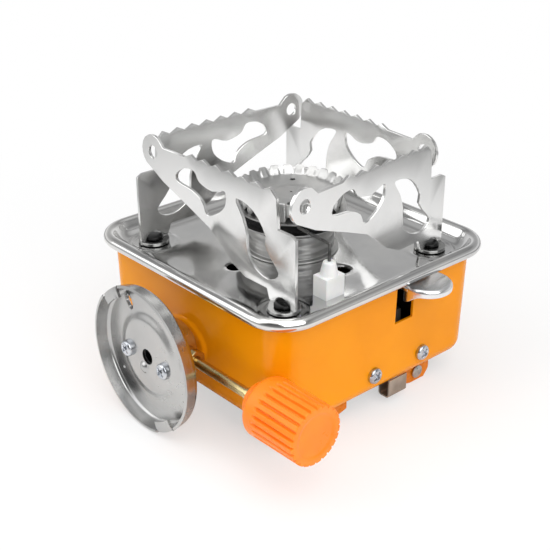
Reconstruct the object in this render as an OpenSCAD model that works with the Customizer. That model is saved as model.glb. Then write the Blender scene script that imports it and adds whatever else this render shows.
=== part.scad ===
// Butane cassette stove head: a pressed box on four folding legs, a drip tray with
// four swinging pot supports, a fluted burner, and a dish for the gas cartridge
// with its valve and knob. Millimetres, +Z up, origin on the table under the burner.
// The -Y side carries the cartridge dish, the +X side the igniter's thumb tab.

/* [Box] */
// Height from the box's open bottom to the upper face of the tray floor
box_h = 36; // [33:1:42]
// Width of the square box at its top
box_w = 84.6; // [82:0.2:89]
// Radius of the box's upright corners
box_corner_r = 8.3; // [7:0.1:10]
// Sheet thickness of the box
box_wall = 0.8; // [0.6:0.1:1]

/* [Drip tray] */
// How far the tray reaches past the box on each side
tray_over = 4.2; // [3.8:0.1:5]
// Radius of the tray's corners
tray_corner_r = 13.1; // [12:0.1:15]
// Sheet thickness of the tray
tray_t = 0.8; // [0.6:0.1:1]
// Height of the rolled rim above the tray floor
rim_h = 4.5; // [4:0.1:5.5]
// Radius of the rolled rim
bead_r = 1.2; // [1.1:0.1:1.5]

/* [Burner] */
// Radius of the crown's top edge
crown_r = 17; // [15:0.5:19]
// Height of the crown
crown_h = 6.7; // [6:0.1:8]
// Flutes round the crown
flutes = 24; // [18:1:28]
// Height of the cup under the crown
cup_h = 11; // [10:0.5:13]
// Height of the screened gap between cup and crown
screen_h = 3.2; // [2.5:0.1:4]

/* [Pot supports] */
// Height of the teeth above the tray floor
arm_h = 36.2; // [34:0.2:40]
// Sheet thickness of a pot support
arm_t = 1; // [0.8:0.1:1.2]
// Teeth along the top of a pot support
teeth = 7; // [5:1:8]
// Radius of the rivet that a pot support turns on
arm_pin_r = 1.6; // [1.4:0.1:1.8]

/* [Gas valve] */
// Height of the valve's axis above the box's bottom
valve_h = 16.4; // [16:0.2:18]
// Sideways place of the valve's axis
valve_x = -0.8; // [-1.5:0.1:0]
// Radius of the valve's barrel
barrel_r = 8; // [7:0.1:9]
// Radius of the inlet that takes the cartridge's tip
inlet_r = 2.3; // [2.1:0.1:2.5]
// Length of the inlet
inlet_l = 4.8; // [4:0.1:5]

/* [Cartridge dish] */
// Outside radius of the dish
dish_r = 23.4; // [22:0.1:23.6]
// Depth of the dish from rim to floor
dish_depth = 4.6; // [4:0.1:6]
// Sheet thickness of the dish
dish_t = 0.9; // [0.7:0.1:1.1]

/* [Knob and spindle] */
// Largest radius of the knob
knob_r = 9.2; // [8:0.1:10]
// Length of the knob
knob_l = 24.3; // [20:0.1:28]
// Grooves round the knob
knob_grooves = 24; // [16:1:26]
// Radius of the spindle
spindle_r = 1.6; // [1.4:0.1:1.8]

/* [Legs] */
// Distance between the two leg pivots of one side
leg_spacing = 45; // [43:0.5:50]
// Length of a leg from its pivot to its foot
leg_arm = 13.3; // [11:0.1:15]
// Sheet thickness of a leg
leg_t = 1.2; // [1:0.1:1.4]

/* [Igniter] */
// Radius of the thumb tab
tab_r = 7.8; // [7:0.1:8.5]
// Travel of the thumb tab
tab_travel = 5; // [3:0.5:6]

/* [Hidden] */

// Sides of small round pieces, and of the large ones
$fn = 28;
fine = 64;

// Gap between pieces that move past each other, and radial play of pins and shafts
run_gap = 0.3;
play = 0.05;
// How far a cutter runs past the face that it leaves
over = 1;

// Colours
orange = [0.96, 0.52, 0.11];
steel = [0.78, 0.78, 0.76];
zinc = [0.68, 0.68, 0.64];
black = [0.06, 0.06, 0.06];
brass = [0.78, 0.62, 0.26];

// Box: heights are above its open bottom. The draft is how much narrower each side
// is at the top of the foot's bend than at the rim
box_draft = 0.8;
foot_r = 5;
foot_sweep = 78;
wall_up = 1;
flange_w = 5.9;
box_half = box_w / 2;
box_core = box_half - box_corner_r;
floor_under = box_h - tray_t;
wall_top = floor_under + wall_up;
bend_x = box_corner_r - box_draft - foot_r;
lip_in = box_core + bend_x + (foot_r - box_wall) * cos(foot_sweep);

// Legs: heights are above the box's bottom, the sole is the leg's flat lower edge
pivot_drop = 3.7;
sole_drop = 3.7;
leg_pin_r = 1.5;
leg_end = 6.2;
leg_sole_in = 2.5;
leg_sole_out = 4;
leg_end_r = 2.6;
leg_tip_r = 1.4;
leg_tip_drop = 0.8;
lip_gap = 1.05;
leg_out = lip_in - lip_gap;
leg_in = leg_out - leg_t;
leg_y = leg_spacing / 2;
box_rise = pivot_drop + sole_drop;
rivet_head_r = 2.2;
rivet_head_t = 0.9;

// Base plate: its bent tongues follow the inside of the box's foot
plate_t = 0.8;
plate_gap = 0.35;
plate_in = 0.5;
plate_y = box_core + bend_x - plate_in;
plate_edge = leg_in - run_gap;
tongue_r = foot_r - box_wall - plate_gap;
plate_z = foot_r - tongue_r;
plate_top = plate_z + plate_t;
ear_t = 1;
ear_r = 2.8;
air_hole_r = 9;
plate_corner_r = 4;

// Screws in the two side faces, and the tongues that hold them
side_screw_y = [-3.4, 18.1];
side_screw_z = 7.6;
screw_r = 1.4;
head_r = 3.2;
head_t = 1.9;
head_edge = 0.7;
head_sweep = 70;
cross_l = 3.6;
cross_w = 0.9;
cross_depth = 1;
shank_l = 4.5;
tongue_y = [[-8.9, 2.1], [13.4, 17.6]];
tongue_top = 11.4;
lug_y = [[-8.9, 2.1], [13.4, 21.6]];
lug_foot = 6;

// Tray: places of its crease, drain holes and pot support pivots
tray_half = box_half + tray_over;
tray_core = tray_half - tray_corner_r;
crease_in = 10.5;
lip_h = 1.1;
slope_power = 1.8;
pivot_in = 15.2;
pivot_xy = tray_half - pivot_in;
recess_r = 6.2;
drain_r = 2.5;
drain_at = 23.6;

// Pot support: u runs along the arm from its pivot, h is above the tray floor
reach_less = 4;
arm_reach = 2 * pivot_xy - reach_less;
ear_hole_r = 2.1;
arm_ear_r = 5.5;
ear_drop = 4.1;
foot_disc_r = 5;
foot_disc_t = 1;
arch_r = 3.6;
post_r = 5.2;
toe = 5.6;
toe_h = 1.6;
neck = 6.7;
heel = 16;
rim_clear = 0.3;
end_u = 2.6;
end_slant = 0.5;
end_drop = 11.8;
end_h = arm_h - end_drop;
shoulder_u = 3.3;
shoulder_h = 1;
tooth_first = 5.4;
tooth_rise = 1.4;
teeth_less = 16.8;
teeth_end = arm_reach - teeth_less;
top_dip = 2.6;
notch_u = 5.1;
notch_dip = 1.6;
swings = [1, 3.5, -0.8, -0.8];
black_head_r = 2.9;
black_head_t = 0.8;
tail_r = 2.6;
tail_t = 1;

// Burner: heights are above the tray floor
cup_r = 13.7;
cup_t = 0.8;
cup_flange = 1.5;
cup_flare = 2.6;
lip_t = 0.4;
lip_over = 0.8;
screen_r_less = 1.6;
screen_t = 0.6;
flame_t = 0.5;
flame_over = 0.5;
flame_hole_r = 4;
plate_hole_r = 0.9;
plate_hole_at = 10;
port_w = 2.6;
port_h = 2.4;
port_turn = 150;
crown_z = cup_h + screen_h + flame_t;
groove_share = [-0.5, -0.18, -0.087, 0.087, 0.18];
groove_on = [0, 0, 1, 1, 0];

// Mixing tube and the nut that holds the burner on the tray
tube_r = 5;
tube_t = 0.8;
tube_bend = 12;
tube_mouth_r = 6.5;
tube_mouth_l = 7.5;
tube_mouth_in = 4.8;
tube_mouth_end = box_half - tube_mouth_in;
tube_top = 4.6;
shoulder_r = 7.5;
shoulder_t = 1.5;
nut_r = 8;
nut_t = 3;

// Valve: places along its axis are distances from the box's centre towards -Y
collar_proud = 1;
collar_half = [10, 7.5];
collar_x = -1;
collar_taper = 0.9;
union_r = 6;
union_t = 1.7;
spigot_r = 4;
spigot_in = 6.7;
spigot_end = box_half - spigot_in;
barrel_l = 9.8;
seat_r = 11.6;
seat_t = 2;
gas_r = 0.8;
stem_back = 3.5;
spindle_boss_r = 3.4;
spindle_boss_end = 9.3;
spindle_in = 3;
spindle_into_knob = 12;
gland_r = 3.6;
gland_t = 2;
nozzle_wall = 1.1;
seal_t = 1.2;
seal_hole_r = 1.1;
jet_r = 1.75;
jet_l = 3;
jet_head_r = 2.6;
jet_head_l = 2.6;
jet_hole_r = 0.4;

// Dish: its boss stands forward of its floor and takes the two screws
boss_r = 12.8;
boss_h = 1.2;
boss_edge = 0.5;
dish_flare = 0.6;
dish_bend = 2.2;
dish_hole_r = 2.5;
rim_tab_l = 9;
rim_tab_w = 3.6;
rim_tab_turn = [127, 300];
slit_w = 0.8;
slit_l = 3;
key_w = 5.4;
key_h = 2.6;
key_at = 18;
key_turn = 122;
nub_r = 1.4;
nub_t = 0.5;
nub_at = [-1.4, -3.7];
dish_screw_at = [[-9.6, -0.9], [8.4, -1.1]];

// Knob: lengths run outwards from its collar
knob_tuck = 3.6;
knob_collar_r = 5.6;
knob_collar_l = 3.3;
knob_shoulder_l = 2;
knob_shoulder_sweep = 60;
knob_taper = 0.2;
knob_edge = 0.9;
knob_dish_r = 6;
knob_dish_t = 0.8;
groove_r = 0.8;
groove_depth = 0.55;
groove_from = 8.3;
ferrule_l = 3.7;
ferrule_r = 2.2;

// Igniter: the slot in the +X face and what moves in it
slot_y = 8.6;
slot_w = 7.8;
slot_z = 22.4;
slot_wide_y = 17.5;
tab_drop = 0.5;
tab_t = 2.5;
tab_edge = 1;
tab_x_out = 3;
tab_y = 14.4;
neck_t = 1.2;
neck_y = [6.2, 16.6];
neck_in = 10;
bracket_t = 0.5;
bracket_w = 8;
bracket_foot_l = 9.6;
bracket_low = 4.7;
bracket_out = 0.7;
bracket_gap = 0.5;
bracket_high = 23.2;
housing_l = 7.6;
housing_top = 23.6;
plunger_l = 5.4;
plunger_w = 6;
plunger_h = 19.4;

// Electrode and its ceramic foot
rod_in = 13.7;
rod_x = tray_half - rod_in;
rod_y = -14.9;
ceramic_l = 5.6;
ceramic_w = 7.3;
ceramic_h = 6.6;
cone_r = 2.9;
cone_top_r = 2;
cone_h = 3.6;
cone_cap = 0.7;
stub_r = 2.4;
stub_l = 7;
wire_r = 0.5;
wire_rise = 16.3;
wire_start = 2;
spark_gap = 1.4;
spark_turn = -35.7;

// Places that several pieces share
collar_face = half_at(valve_h) + collar_proud;
barrel_from = collar_face + union_t;
seat_from = barrel_from + barrel_l;
seat_face = seat_from + seat_t;
stem_y = barrel_from + stem_back;
nozzle_from = seat_face - inlet_l;
seal_from = nozzle_from - seal_t;
nozzle_r = inlet_r + nozzle_wall;
boss_face = seat_face + dish_t;
dish_floor = boss_face - boss_h;
dish_rim = dish_floor + dish_depth;
knob_from = box_half - knob_tuck;
tab_top = box_h - tab_drop;
neck_top = floor_under - run_gap;
neck_low = neck_top - neck_t;
tab_x = box_half + tab_x_out;
bracket_x = leg_out + run_gap;

// Half width of the box's outer face at height z
function half_at(z) = box_half - box_draft * (wall_top - z) / (wall_top - foot_r);

// Points of an arc about c, from angle a to angle b in n steps
function arc(c, r, a, b, n) =
    [for (i = [0:n]) c + r * [cos(a + (b - a) * i / n), sin(a + (b - a) * i / n)]];

// A smooth closed curve through the points p, with n steps between two of them
function smooth(p, n) = [for (i = [0:len(p) - 1], k = [0:n - 1])
    let (m = len(p), t = k / n, a = p[(i + m - 1) % m], b = p[i],
        c = p[(i + 1) % m], d = p[(i + 2) % m])
    b + t * (c - a) / 2 + t * t * (2 * a - 5 * b + 4 * c - d) / 2
        + t * t * t * (3 * b - a - 3 * c + d) / 2];

// Points given as shares of the arm's reach and height
function on_arm(shares) = [for (s = shares) [s[0] * arm_reach, s[1] * arm_h]];

// The pieces stand on the legs, so all are lifted by the height of the folded legs
module raise(z = 0) {
    translate([0, 0, box_rise + z]) children();
}

// Sweeps a profile of [distance from the core, height] round a rounded square
module around(core, profile) {
    for (i = [0:3]) {
        rotate(90 * i) {
            translate([core, core, 0])
                rotate_extrude(angle = 90, $fn = fine) polygon(profile);
            translate([core, 0, 0])
                rotate([90, 0, 0])
                linear_extrude(2 * core, center = true) polygon(profile);
        }
    }
}

// Local +Z points along -Y, out of the valve's side, and local +Y points up
module at_valve() {
    translate([valve_x, 0, valve_h]) rotate([90, 0, 0]) children();
}

// Local +Z points along +X, at the spindle's axis
module at_spindle() {
    translate([0, -stem_y, valve_h]) rotate([0, 90, 0]) children();
}

// Ring between two heights
module ring(r, hole, low, high, sides = $fn) {
    difference() {
        translate([0, 0, low]) cylinder(r = r, h = high - low, $fn = sides);
        translate([0, 0, low - over]) cylinder(r = hole, h = high - low + 2 * over);
    }
}

// Pan head screw, its shank below zero and its head above
module pan_screw(shank) {
    difference() {
        rotate_extrude() polygon(concat(
            [[0, -shank], [screw_r, -shank], [screw_r, 0], [head_r, 0]],
            arc([head_r - head_edge, head_t - head_edge], head_edge, 0, head_sweep, 3),
            [[0, head_t]]));
        for (turn = [0, 90]) {
            rotate(45 + turn)
                translate([-cross_l / 2, -cross_w / 2, head_t - cross_depth])
                cube([cross_l, cross_w, cross_depth + over]);
        }
    }
}

// Profile of the tray's sheet outside its flat middle
function tray_profile() =
    let (crease = tray_corner_r - crease_in,
        bead = [tray_corner_r - bead_r, rim_h - bead_r],
        up = bead[0] - bead_r - crease)
    concat(
        [[0, 0]],
        [for (i = [0:5]) let (t = i / 5) [crease + up * t, bead[1] * pow(t, slope_power)]],
        arc(bead, bead_r, 150, 0, 5),
        [[tray_corner_r, lip_h], [tray_corner_r - tray_t, lip_h]],
        arc(bead, bead_r - tray_t, 0, 180, 4),
        [for (i = [4:-1:0]) let (t = i / 5)
            [crease + up * t + tray_t * t,
                bead[1] * pow(t, slope_power) - tray_t * (1 - t)]],
        [[0, -tray_t]]);

module tray() color(steel) raise(box_h) {
    difference() {
        union() {
            around(tray_core, tray_profile());
            translate([-tray_core, -tray_core, -tray_t])
                cube([2 * tray_core, 2 * tray_core, tray_t]);
        }
        for (i = [0:3]) {
            rotate(90 * i) {
                translate([drain_at, 0, -tray_t - over]) cylinder(r = drain_r, h = tray_t + 2 * over);
                translate([pivot_xy, pivot_xy, 0]) cylinder(r = recess_r, h = rim_h);
                translate([pivot_xy, pivot_xy, -tray_t - over])
                    cylinder(r = arm_pin_r + play, h = tray_t + 2 * over);
            }
        }
        translate([0, 0, -tray_t - over]) cylinder(r = tube_r + play, h = tray_t + 2 * over);
        translate([rod_x, rod_y, -tray_t - over]) cylinder(r = stub_r + play, h = tray_t + 2 * over);
    }
}

// Profile of the box's wall, foot bend and inner flange
function box_profile() =
    let (c = [bend_x, foot_r], inner = box_corner_r - box_wall)
    concat(
        arc(c, foot_r, -foot_sweep, 0, 6),
        [[box_corner_r, wall_top - box_wall / 2], [box_corner_r - box_wall / 2, wall_top],
            [inner, wall_top], [inner, floor_under], [inner - flange_w, floor_under],
            [inner - flange_w, floor_under - box_wall], [inner, floor_under - box_wall]],
        arc(c, foot_r - box_wall, 0, -foot_sweep, 6));

module body_shell() color(orange) raise() {
    difference() {
        union() {
            around(box_core, box_profile());
            translate([valve_x + collar_x, -collar_face + collar_proud + box_wall / 2, valve_h])
                rotate([90, 0, 0])
                linear_extrude(collar_proud + box_wall / 2, scale = collar_taper)
                scale(collar_half) circle(r = 1, $fn = fine / 2);
        }
        at_valve() translate([0, 0, spigot_end])
            cylinder(r = spigot_r + play, h = collar_face);
        translate([box_half - box_wall - flange_w - over, slot_y - slot_w / 2, slot_z])
            cube([box_wall + flange_w + 2 * over, slot_w, box_h]);
        translate([box_half - box_wall - flange_w - over, slot_y - slot_w / 2,
                neck_low - tab_travel - run_gap])
            cube([box_wall + flange_w + 2 * over, slot_wide_y - slot_y + slot_w / 2, box_h]);
        for (side = [-1, 1], y = side_screw_y) {
            translate([side * box_half, y, side_screw_z])
                rotate([0, 90, 0]) cylinder(r = screw_r + run_gap, h = 4 * over, center = true);
        }
    }
}

// One side's bent tongues, lugs and leg ears
module plate_side() {
    c = [box_core + bend_x, foot_r];
    inner = tongue_r - plate_t;
    difference() {
        union() {
            for (t = tongue_y) {
                translate([0, t[1], 0]) rotate([90, 0, 0])
                    linear_extrude(t[1] - t[0])
                    polygon(concat([[plate_edge - ear_t, plate_z]], arc(c, tongue_r, -90, 0, 6),
                        [c + [tongue_r, tongue_top - foot_r], c + [inner, tongue_top - foot_r]],
                        arc(c, inner, 0, -90, 6), [[plate_edge - ear_t, plate_top]]));
            }
            for (t = lug_y) {
                translate([c[0] + inner, t[0], lug_foot])
                    cube([plate_t, t[1] - t[0], tongue_top - lug_foot]);
            }
        }
        for (y = side_screw_y) {
            translate([c[0], y, side_screw_z])
                rotate([0, 90, 0]) cylinder(r = screw_r + play, h = foot_r);
        }
    }
    for (y = [-leg_y, leg_y]) {
        difference() {
            translate([plate_edge - ear_t, 0, 0]) rotate([90, 0, 90])
                linear_extrude(ear_t)
                polygon(concat([[y + ear_r, plate_top], [y - ear_r, plate_top]],
                    arc([y, -pivot_drop], ear_r, 180, 360, 12)));
            translate([plate_edge - ear_t - over, y, -pivot_drop])
                rotate([0, 90, 0]) cylinder(r = leg_pin_r + play, h = ear_t + 2 * over);
        }
    }
}

module base_plate() color(zinc) raise() {
    half = plate_edge;
    difference() {
        translate([0, 0, plate_z]) linear_extrude(plate_t)
            polygon(concat(
                arc([half - plate_corner_r, plate_y - plate_corner_r], plate_corner_r, 0, 90, 4),
                arc([plate_corner_r - half, plate_y - plate_corner_r], plate_corner_r, 90, 180, 4),
                arc([plate_corner_r - half, plate_corner_r - plate_y], plate_corner_r, 180, 270, 4),
                arc([half - plate_corner_r, plate_corner_r - plate_y], plate_corner_r, 270, 360, 4)));
        translate([0, 0, plate_z - over]) cylinder(r = air_hole_r, h = plate_t + 2 * over);
    }
    plate_side();
    mirror([1, 0, 0]) plate_side();
}

module side_screws() color(steel) raise() {
    for (side = [-1, 1], y = side_screw_y) {
        translate([side * (half_at(side_screw_z + head_r) + play), y, side_screw_z])
            rotate([0, 90 * side, 0]) pan_screw(shank_l);
    }
}

// Folded leg: its long arm points to the middle, its sole stands on the table
module leg(side, end) {
    difference() {
        translate([side > 0 ? leg_in : -leg_out, end * leg_y, -pivot_drop])
            rotate([90, 0, 90]) linear_extrude(leg_t) polygon([for (p = concat(
                [[-leg_sole_in, -sole_drop], [leg_sole_out, -sole_drop]],
                arc([leg_end - leg_end_r, leg_end_r / 2 - leg_pin_r], leg_end_r, -45, 0, 3),
                arc([leg_end - leg_end_r, sole_drop - leg_end_r], leg_end_r, 0, 90, 4),
                arc([leg_tip_r - leg_arm, sole_drop - leg_tip_r], leg_tip_r, 90, 180, 3),
                [[-leg_arm, -leg_tip_drop]])) [end * p[0], p[1]]]);
        translate([side * leg_in - over * side, end * leg_y, -pivot_drop])
            rotate([0, 90 * side, 0]) cylinder(r = leg_pin_r + play, h = leg_t + 2 * over);
    }
}

module leg_a() color(orange) raise() leg(1, -1);
module leg_b() color(orange) raise() leg(1, 1);
module leg_c() color(orange) raise() leg(-1, 1);
module leg_d() color(orange) raise() leg(-1, -1);

module leg_rivets() color(steel) raise() {
    for (side = [-1, 1], end = [-1, 1]) {
        translate([0, end * leg_y, -pivot_drop]) rotate([0, 90 * side, 0])
            rotate_extrude() polygon([
                [0, plate_edge - ear_t - rivet_head_t],
                [rivet_head_r, plate_edge - ear_t - rivet_head_t],
                [rivet_head_r, plate_edge - ear_t],
                [leg_pin_r, plate_edge - ear_t],
                [leg_pin_r, leg_out + run_gap],
                [rivet_head_r, leg_out + run_gap],
                [rivet_head_r, leg_out + run_gap + rivet_head_t / 2],
                [rivet_head_r / 2, leg_out + run_gap + rivet_head_t],
                [0, leg_out + run_gap + rivet_head_t]]);
    }
}

// Outline shares of a pot support, all chosen by hand along the arm
lower_edge_share = [[0.38, 0.21], [0.49, 0.356], [0.546, 0.42], [0.69, 0.512], [0.92, 0.65]];
crescent_share = [[0.33, 0.79], [0.25, 0.775], [0.178, 0.705], [0.122, 0.575], [0.128, 0.5],
    [0.085, 0.405], [0.03, 0.31], [0.055, 0.245], [0.105, 0.215], [0.17, 0.235],
    [0.235, 0.3], [0.258, 0.4], [0.262, 0.52], [0.288, 0.645], [0.332, 0.75]];
butterfly_share = [[0.8, 0.715], [0.8, 0.79], [0.735, 0.86], [0.66, 0.868], [0.62, 0.79],
    [0.52, 0.757], [0.435, 0.805], [0.412, 0.775], [0.425, 0.67], [0.49, 0.575],
    [0.565, 0.53], [0.598, 0.625], [0.68, 0.69]];

// Closed outline of a pot support's sheet
function arm_outline() =
    let (pitch = (teeth_end - tooth_first + tooth_rise) / (teeth - 0.5),
        ear = [arm_reach, arm_h - ear_drop])
    concat(
        [[-post_r, run_gap], [toe - toe_h, run_gap], [toe, toe_h],
            [neck, rim_h + rim_clear], [heel, rim_h + rim_clear]],
        on_arm(lower_edge_share),
        arc(ear, arm_ear_r, -50, 118, 9),
        [[arm_reach - notch_u, arm_h - notch_dip]],
        [for (i = [teeth - 1:-1:0]) each [
            [tooth_first + pitch * (i + 0.5), arm_h - tooth_rise],
            [tooth_first + pitch * i, arm_h]]],
        [[end_u, arm_h - top_dip], [end_u - end_slant, end_h],
            [-shoulder_u, end_h], [-post_r, end_h - shoulder_h]]);

// Pot support with its pivot at zero and its arm along +X
module pot_support() {
    difference() {
        union() {
            rotate([90, 0, 0]) linear_extrude(arm_t, center = true) difference() {
                polygon(arm_outline());
                polygon(smooth(on_arm(crescent_share), 2));
                polygon(smooth(on_arm(butterfly_share), 3));
                translate([0, run_gap]) circle(r = arch_r);
            }
            translate([0, 0, run_gap]) cylinder(r = foot_disc_r, h = foot_disc_t);
        }
        cylinder(r = arm_pin_r + play, h = 2 * foot_disc_t);
        translate([arm_reach, 0, arm_h - ear_drop])
            rotate([90, 0, 0]) cylinder(r = ear_hole_r, h = 4 * arm_t, center = true);
    }
}

// Each support turns on its own corner and points along the next side of the tray
module placed_support(x_side, y_side, turn, swing) {
    color(steel) raise(box_h)
        translate([x_side * pivot_xy, y_side * pivot_xy, 0]) rotate(turn + swing) pot_support();
}

module pot_support_a() placed_support(1, -1, 180, swings[0]);
module pot_support_b() placed_support(1, 1, 270, swings[1]);
module pot_support_c() placed_support(-1, 1, 0, swings[2]);
module pot_support_d() placed_support(-1, -1, 90, swings[3]);

module support_rivets() color(black) raise(box_h) {
    low = foot_disc_t + 2 * run_gap;
    for (i = [0:3]) {
        rotate(90 * i) translate([pivot_xy, pivot_xy, 0]) rotate_extrude() polygon(concat(
            [[0, -tray_t - tail_t], [tail_r, -tray_t - tail_t], [tail_r, -tray_t],
                [arm_pin_r, -tray_t], [arm_pin_r, low], [black_head_r, low]],
            arc([black_head_r - black_head_t / 2, low + black_head_t / 2],
                black_head_t / 2, 0, 90, 3),
            [[0, low + black_head_t]]));
    }
}

// Crown: rows run from the plate's edge over the rim to the foot and back inside.
// Each row holds shares of the crown's radius and height, and how far a groove
// draws the row in and down
crown_share = [[0.835, 0.582, 0, 0], [0.912, 0.806, 0, 0.134], [0.991, 1, 0.053, 0.134],
    [1.006, 0.948, 0.059, 0.134], [0.959, 0.388, 0.053, 0], [0.929, 0, 0.041, -0.269],
    [0.888, 0, 0.029, -0.269], [0.918, 0.388, 0.035, 0], [0.941, 0.731, 0.041, 0.149],
    [0.868, 0.537, 0, 0.075], [0.85, 0.478, 0, 0]];

module burner_cap() color(steel) raise(box_h + crown_z) {
    steps = len(groove_share);
    n = flutes * steps;
    rows = len(crown_share);
    points = [for (s = crown_share, i = [0:n - 1])
        let (g = groove_on[i % steps],
            turn = (floor(i / steps) + groove_share[i % steps]) * 360 / flutes,
            r = crown_r * (s[0] - s[2] * g))
        [r * cos(turn), r * sin(turn), crown_h * (s[1] - s[3] * g)]];
    faces = concat(
        [[for (i = [n - 1:-1:0]) i]],
        [for (k = [0:rows - 2], i = [0:n - 1]) each
            let (a = k * n + i, b = k * n + (i + 1) % n)
            [[a, b, b + n], [a, b + n, a + n]]],
        [[for (i = [0:n - 1]) (rows - 1) * n + i]]);
    difference() {
        polyhedron(points, faces, convexity = 6);
        for (i = [0:3]) {
            rotate(45 + 90 * i) translate([plate_hole_at, 0, 0])
                cylinder(r = plate_hole_r, h = crown_h);
        }
        rotate(port_turn) translate([crown_r - port_w, -port_w / 2, crown_h * 0.3])
            cube([2 * port_w, port_w, port_h]);
    }
}

module flame_plate() color(steel) raise(box_h + cup_h + screen_h) {
    ring(crown_r + flame_over, flame_hole_r, 0, flame_t, fine);
}

module burner_screen() color(black) raise(box_h + cup_h) {
    r = crown_r - screen_r_less;
    ring(r, r - screen_t, 0, screen_h, fine);
}

module burner_cup() color(steel) raise(box_h) {
    lip_r = crown_r + lip_over;
    throat = crown_r - screen_r_less - 2 * screen_t;
    rotate_extrude($fn = fine) polygon([
        [tube_r + play, 0], [cup_r + cup_flange, 0], [cup_r + cup_flange, cup_t],
        [cup_r, cup_t], [cup_r, cup_h - cup_flare - lip_t],
        [crown_r - lip_over, cup_h - lip_t], [lip_r, cup_h - lip_t], [lip_r, cup_h],
        [throat, cup_h], [cup_r - cup_t, cup_h - cup_flare - lip_t],
        [cup_r - cup_t, cup_t], [tube_r + play, cup_t]]);
}

module burner_nut() color(zinc) raise(box_h + cup_t) difference() {
    linear_extrude(nut_t) polygon([for (i = [0:5]) nut_r * [cos(60 * i), sin(60 * i)]]);
    translate([0, 0, -over]) cylinder(r = tube_r + play, h = nut_t + 2 * over);
}

// The tube's path at radius r, with its ends run on by extra
module tube_path(r, extra) {
    translate([0, -tube_bend, valve_h]) rotate([90, 0, 0])
        cylinder(r = r, h = tube_mouth_end - tube_bend + extra);
    translate([0, -tube_bend, valve_h + tube_bend]) rotate([0, 90, 0])
        rotate_extrude(angle = 90) translate([tube_bend, 0]) circle(r = r);
    translate([0, 0, valve_h + tube_bend])
        cylinder(r = r, h = box_h + tube_top - valve_h - tube_bend + extra);
}

module mixing_tube() color(zinc) raise() difference() {
    union() {
        tube_path(tube_r, 0);
        translate([0, -tube_mouth_end + tube_mouth_l, valve_h]) rotate([90, 0, 0])
            cylinder(r = tube_mouth_r, h = tube_mouth_l);
        translate([0, 0, floor_under - shoulder_t]) cylinder(r = shoulder_r, h = shoulder_t);
    }
    tube_path(tube_r - tube_t, over);
    translate([0, -tube_mouth_end + tube_mouth_l - tube_t, valve_h]) rotate([90, 0, 0])
        cylinder(r = tube_mouth_r - tube_t, h = tube_mouth_l);
}

module jet() color(brass) raise() at_valve() difference() {
    rotate_extrude() polygon([
        [0, spigot_end - jet_head_l], [jet_head_r / 2, spigot_end - jet_head_l],
        [jet_head_r, spigot_end - jet_head_l / 2], [jet_head_r, spigot_end],
        [jet_r, spigot_end], [jet_r, spigot_end + jet_l], [0, spigot_end + jet_l]]);
    translate([0, 0, spigot_end - jet_head_l - over])
        cylinder(r = jet_hole_r, h = jet_head_l + jet_l + 2 * over);
}

module valve_body() color(brass) raise() difference() {
    union() {
        at_valve() rotate_extrude() polygon([
            [0, spigot_end], [spigot_r, spigot_end], [spigot_r, barrel_from],
            [barrel_r, barrel_from], [barrel_r, seat_from],
            [seat_r, seat_from], [seat_r, seat_face], [0, seat_face]]);
        at_spindle() cylinder(r = spindle_boss_r, h = spindle_boss_end);
    }
    at_valve() {
        translate([0, 0, seal_from]) cylinder(r = nozzle_r + play, h = seat_face);
        translate([0, 0, spigot_end - over]) cylinder(r = gas_r, h = seat_face - spigot_end);
        translate([0, 0, spigot_end - over]) cylinder(r = jet_r + play, h = jet_l + play + over);
        for (p = dish_screw_at) {
            translate([p[0], p[1], seat_from - over])
                cylinder(r = screw_r + play, h = seat_t + 2 * over);
        }
    }
    at_spindle() translate([0, 0, -spindle_in])
        cylinder(r = spindle_r + play, h = spindle_in + spindle_boss_end + over);
}

module valve_union() color([0.82, 0.66, 0.3]) raise() at_valve() {
    ring(union_r, spigot_r + play, collar_face, barrel_from, fine / 2);
}

module spindle_gland() color(brass) raise() at_spindle() difference() {
    translate([0, 0, spindle_boss_end]) linear_extrude(gland_t)
        polygon([for (i = [0:5]) gland_r * [cos(60 * i), sin(60 * i)]]);
    translate([0, 0, spindle_boss_end - over])
        cylinder(r = spindle_r + play, h = gland_t + 2 * over);
}

module valve_spindle() color(zinc) raise() at_spindle() {
    translate([0, 0, play - spindle_in])
        cylinder(r = spindle_r, h = spindle_in - play + knob_from + spindle_into_knob);
}

module knob_ferrule() color(zinc) raise() at_spindle() {
    ring(ferrule_r, spindle_r + play, knob_from - ferrule_l, knob_from);
}

module knob() color([1, 0.45, 0.08]) raise() at_spindle() translate([0, 0, knob_from])
difference() {
    end_r = knob_r - knob_taper;
    shoulder = knob_collar_l + knob_shoulder_l;
    rotate_extrude($fn = fine / 2) polygon(concat(
        [[0, 0], [knob_collar_r, 0], [knob_collar_r, knob_collar_l]],
        arc([knob_r - knob_shoulder_l, shoulder], knob_shoulder_l, -knob_shoulder_sweep, 0, 4),
        arc([end_r - knob_edge, knob_l - knob_edge], knob_edge, 0, 90, 3),
        [[knob_dish_r, knob_l], [knob_dish_r, knob_l - knob_dish_t],
            [0, knob_l - knob_dish_t]]));
    translate([0, 0, -over])
        cylinder(r = spindle_r + play, h = spindle_into_knob + play + over);
    for (i = [0:knob_grooves - 1]) {
        rotate(360 * i / knob_grooves)
            translate([knob_r + groove_r - groove_depth, 0, groove_from])
            cylinder(r = groove_r, h = knob_l, $fn = 12);
    }
}

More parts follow.
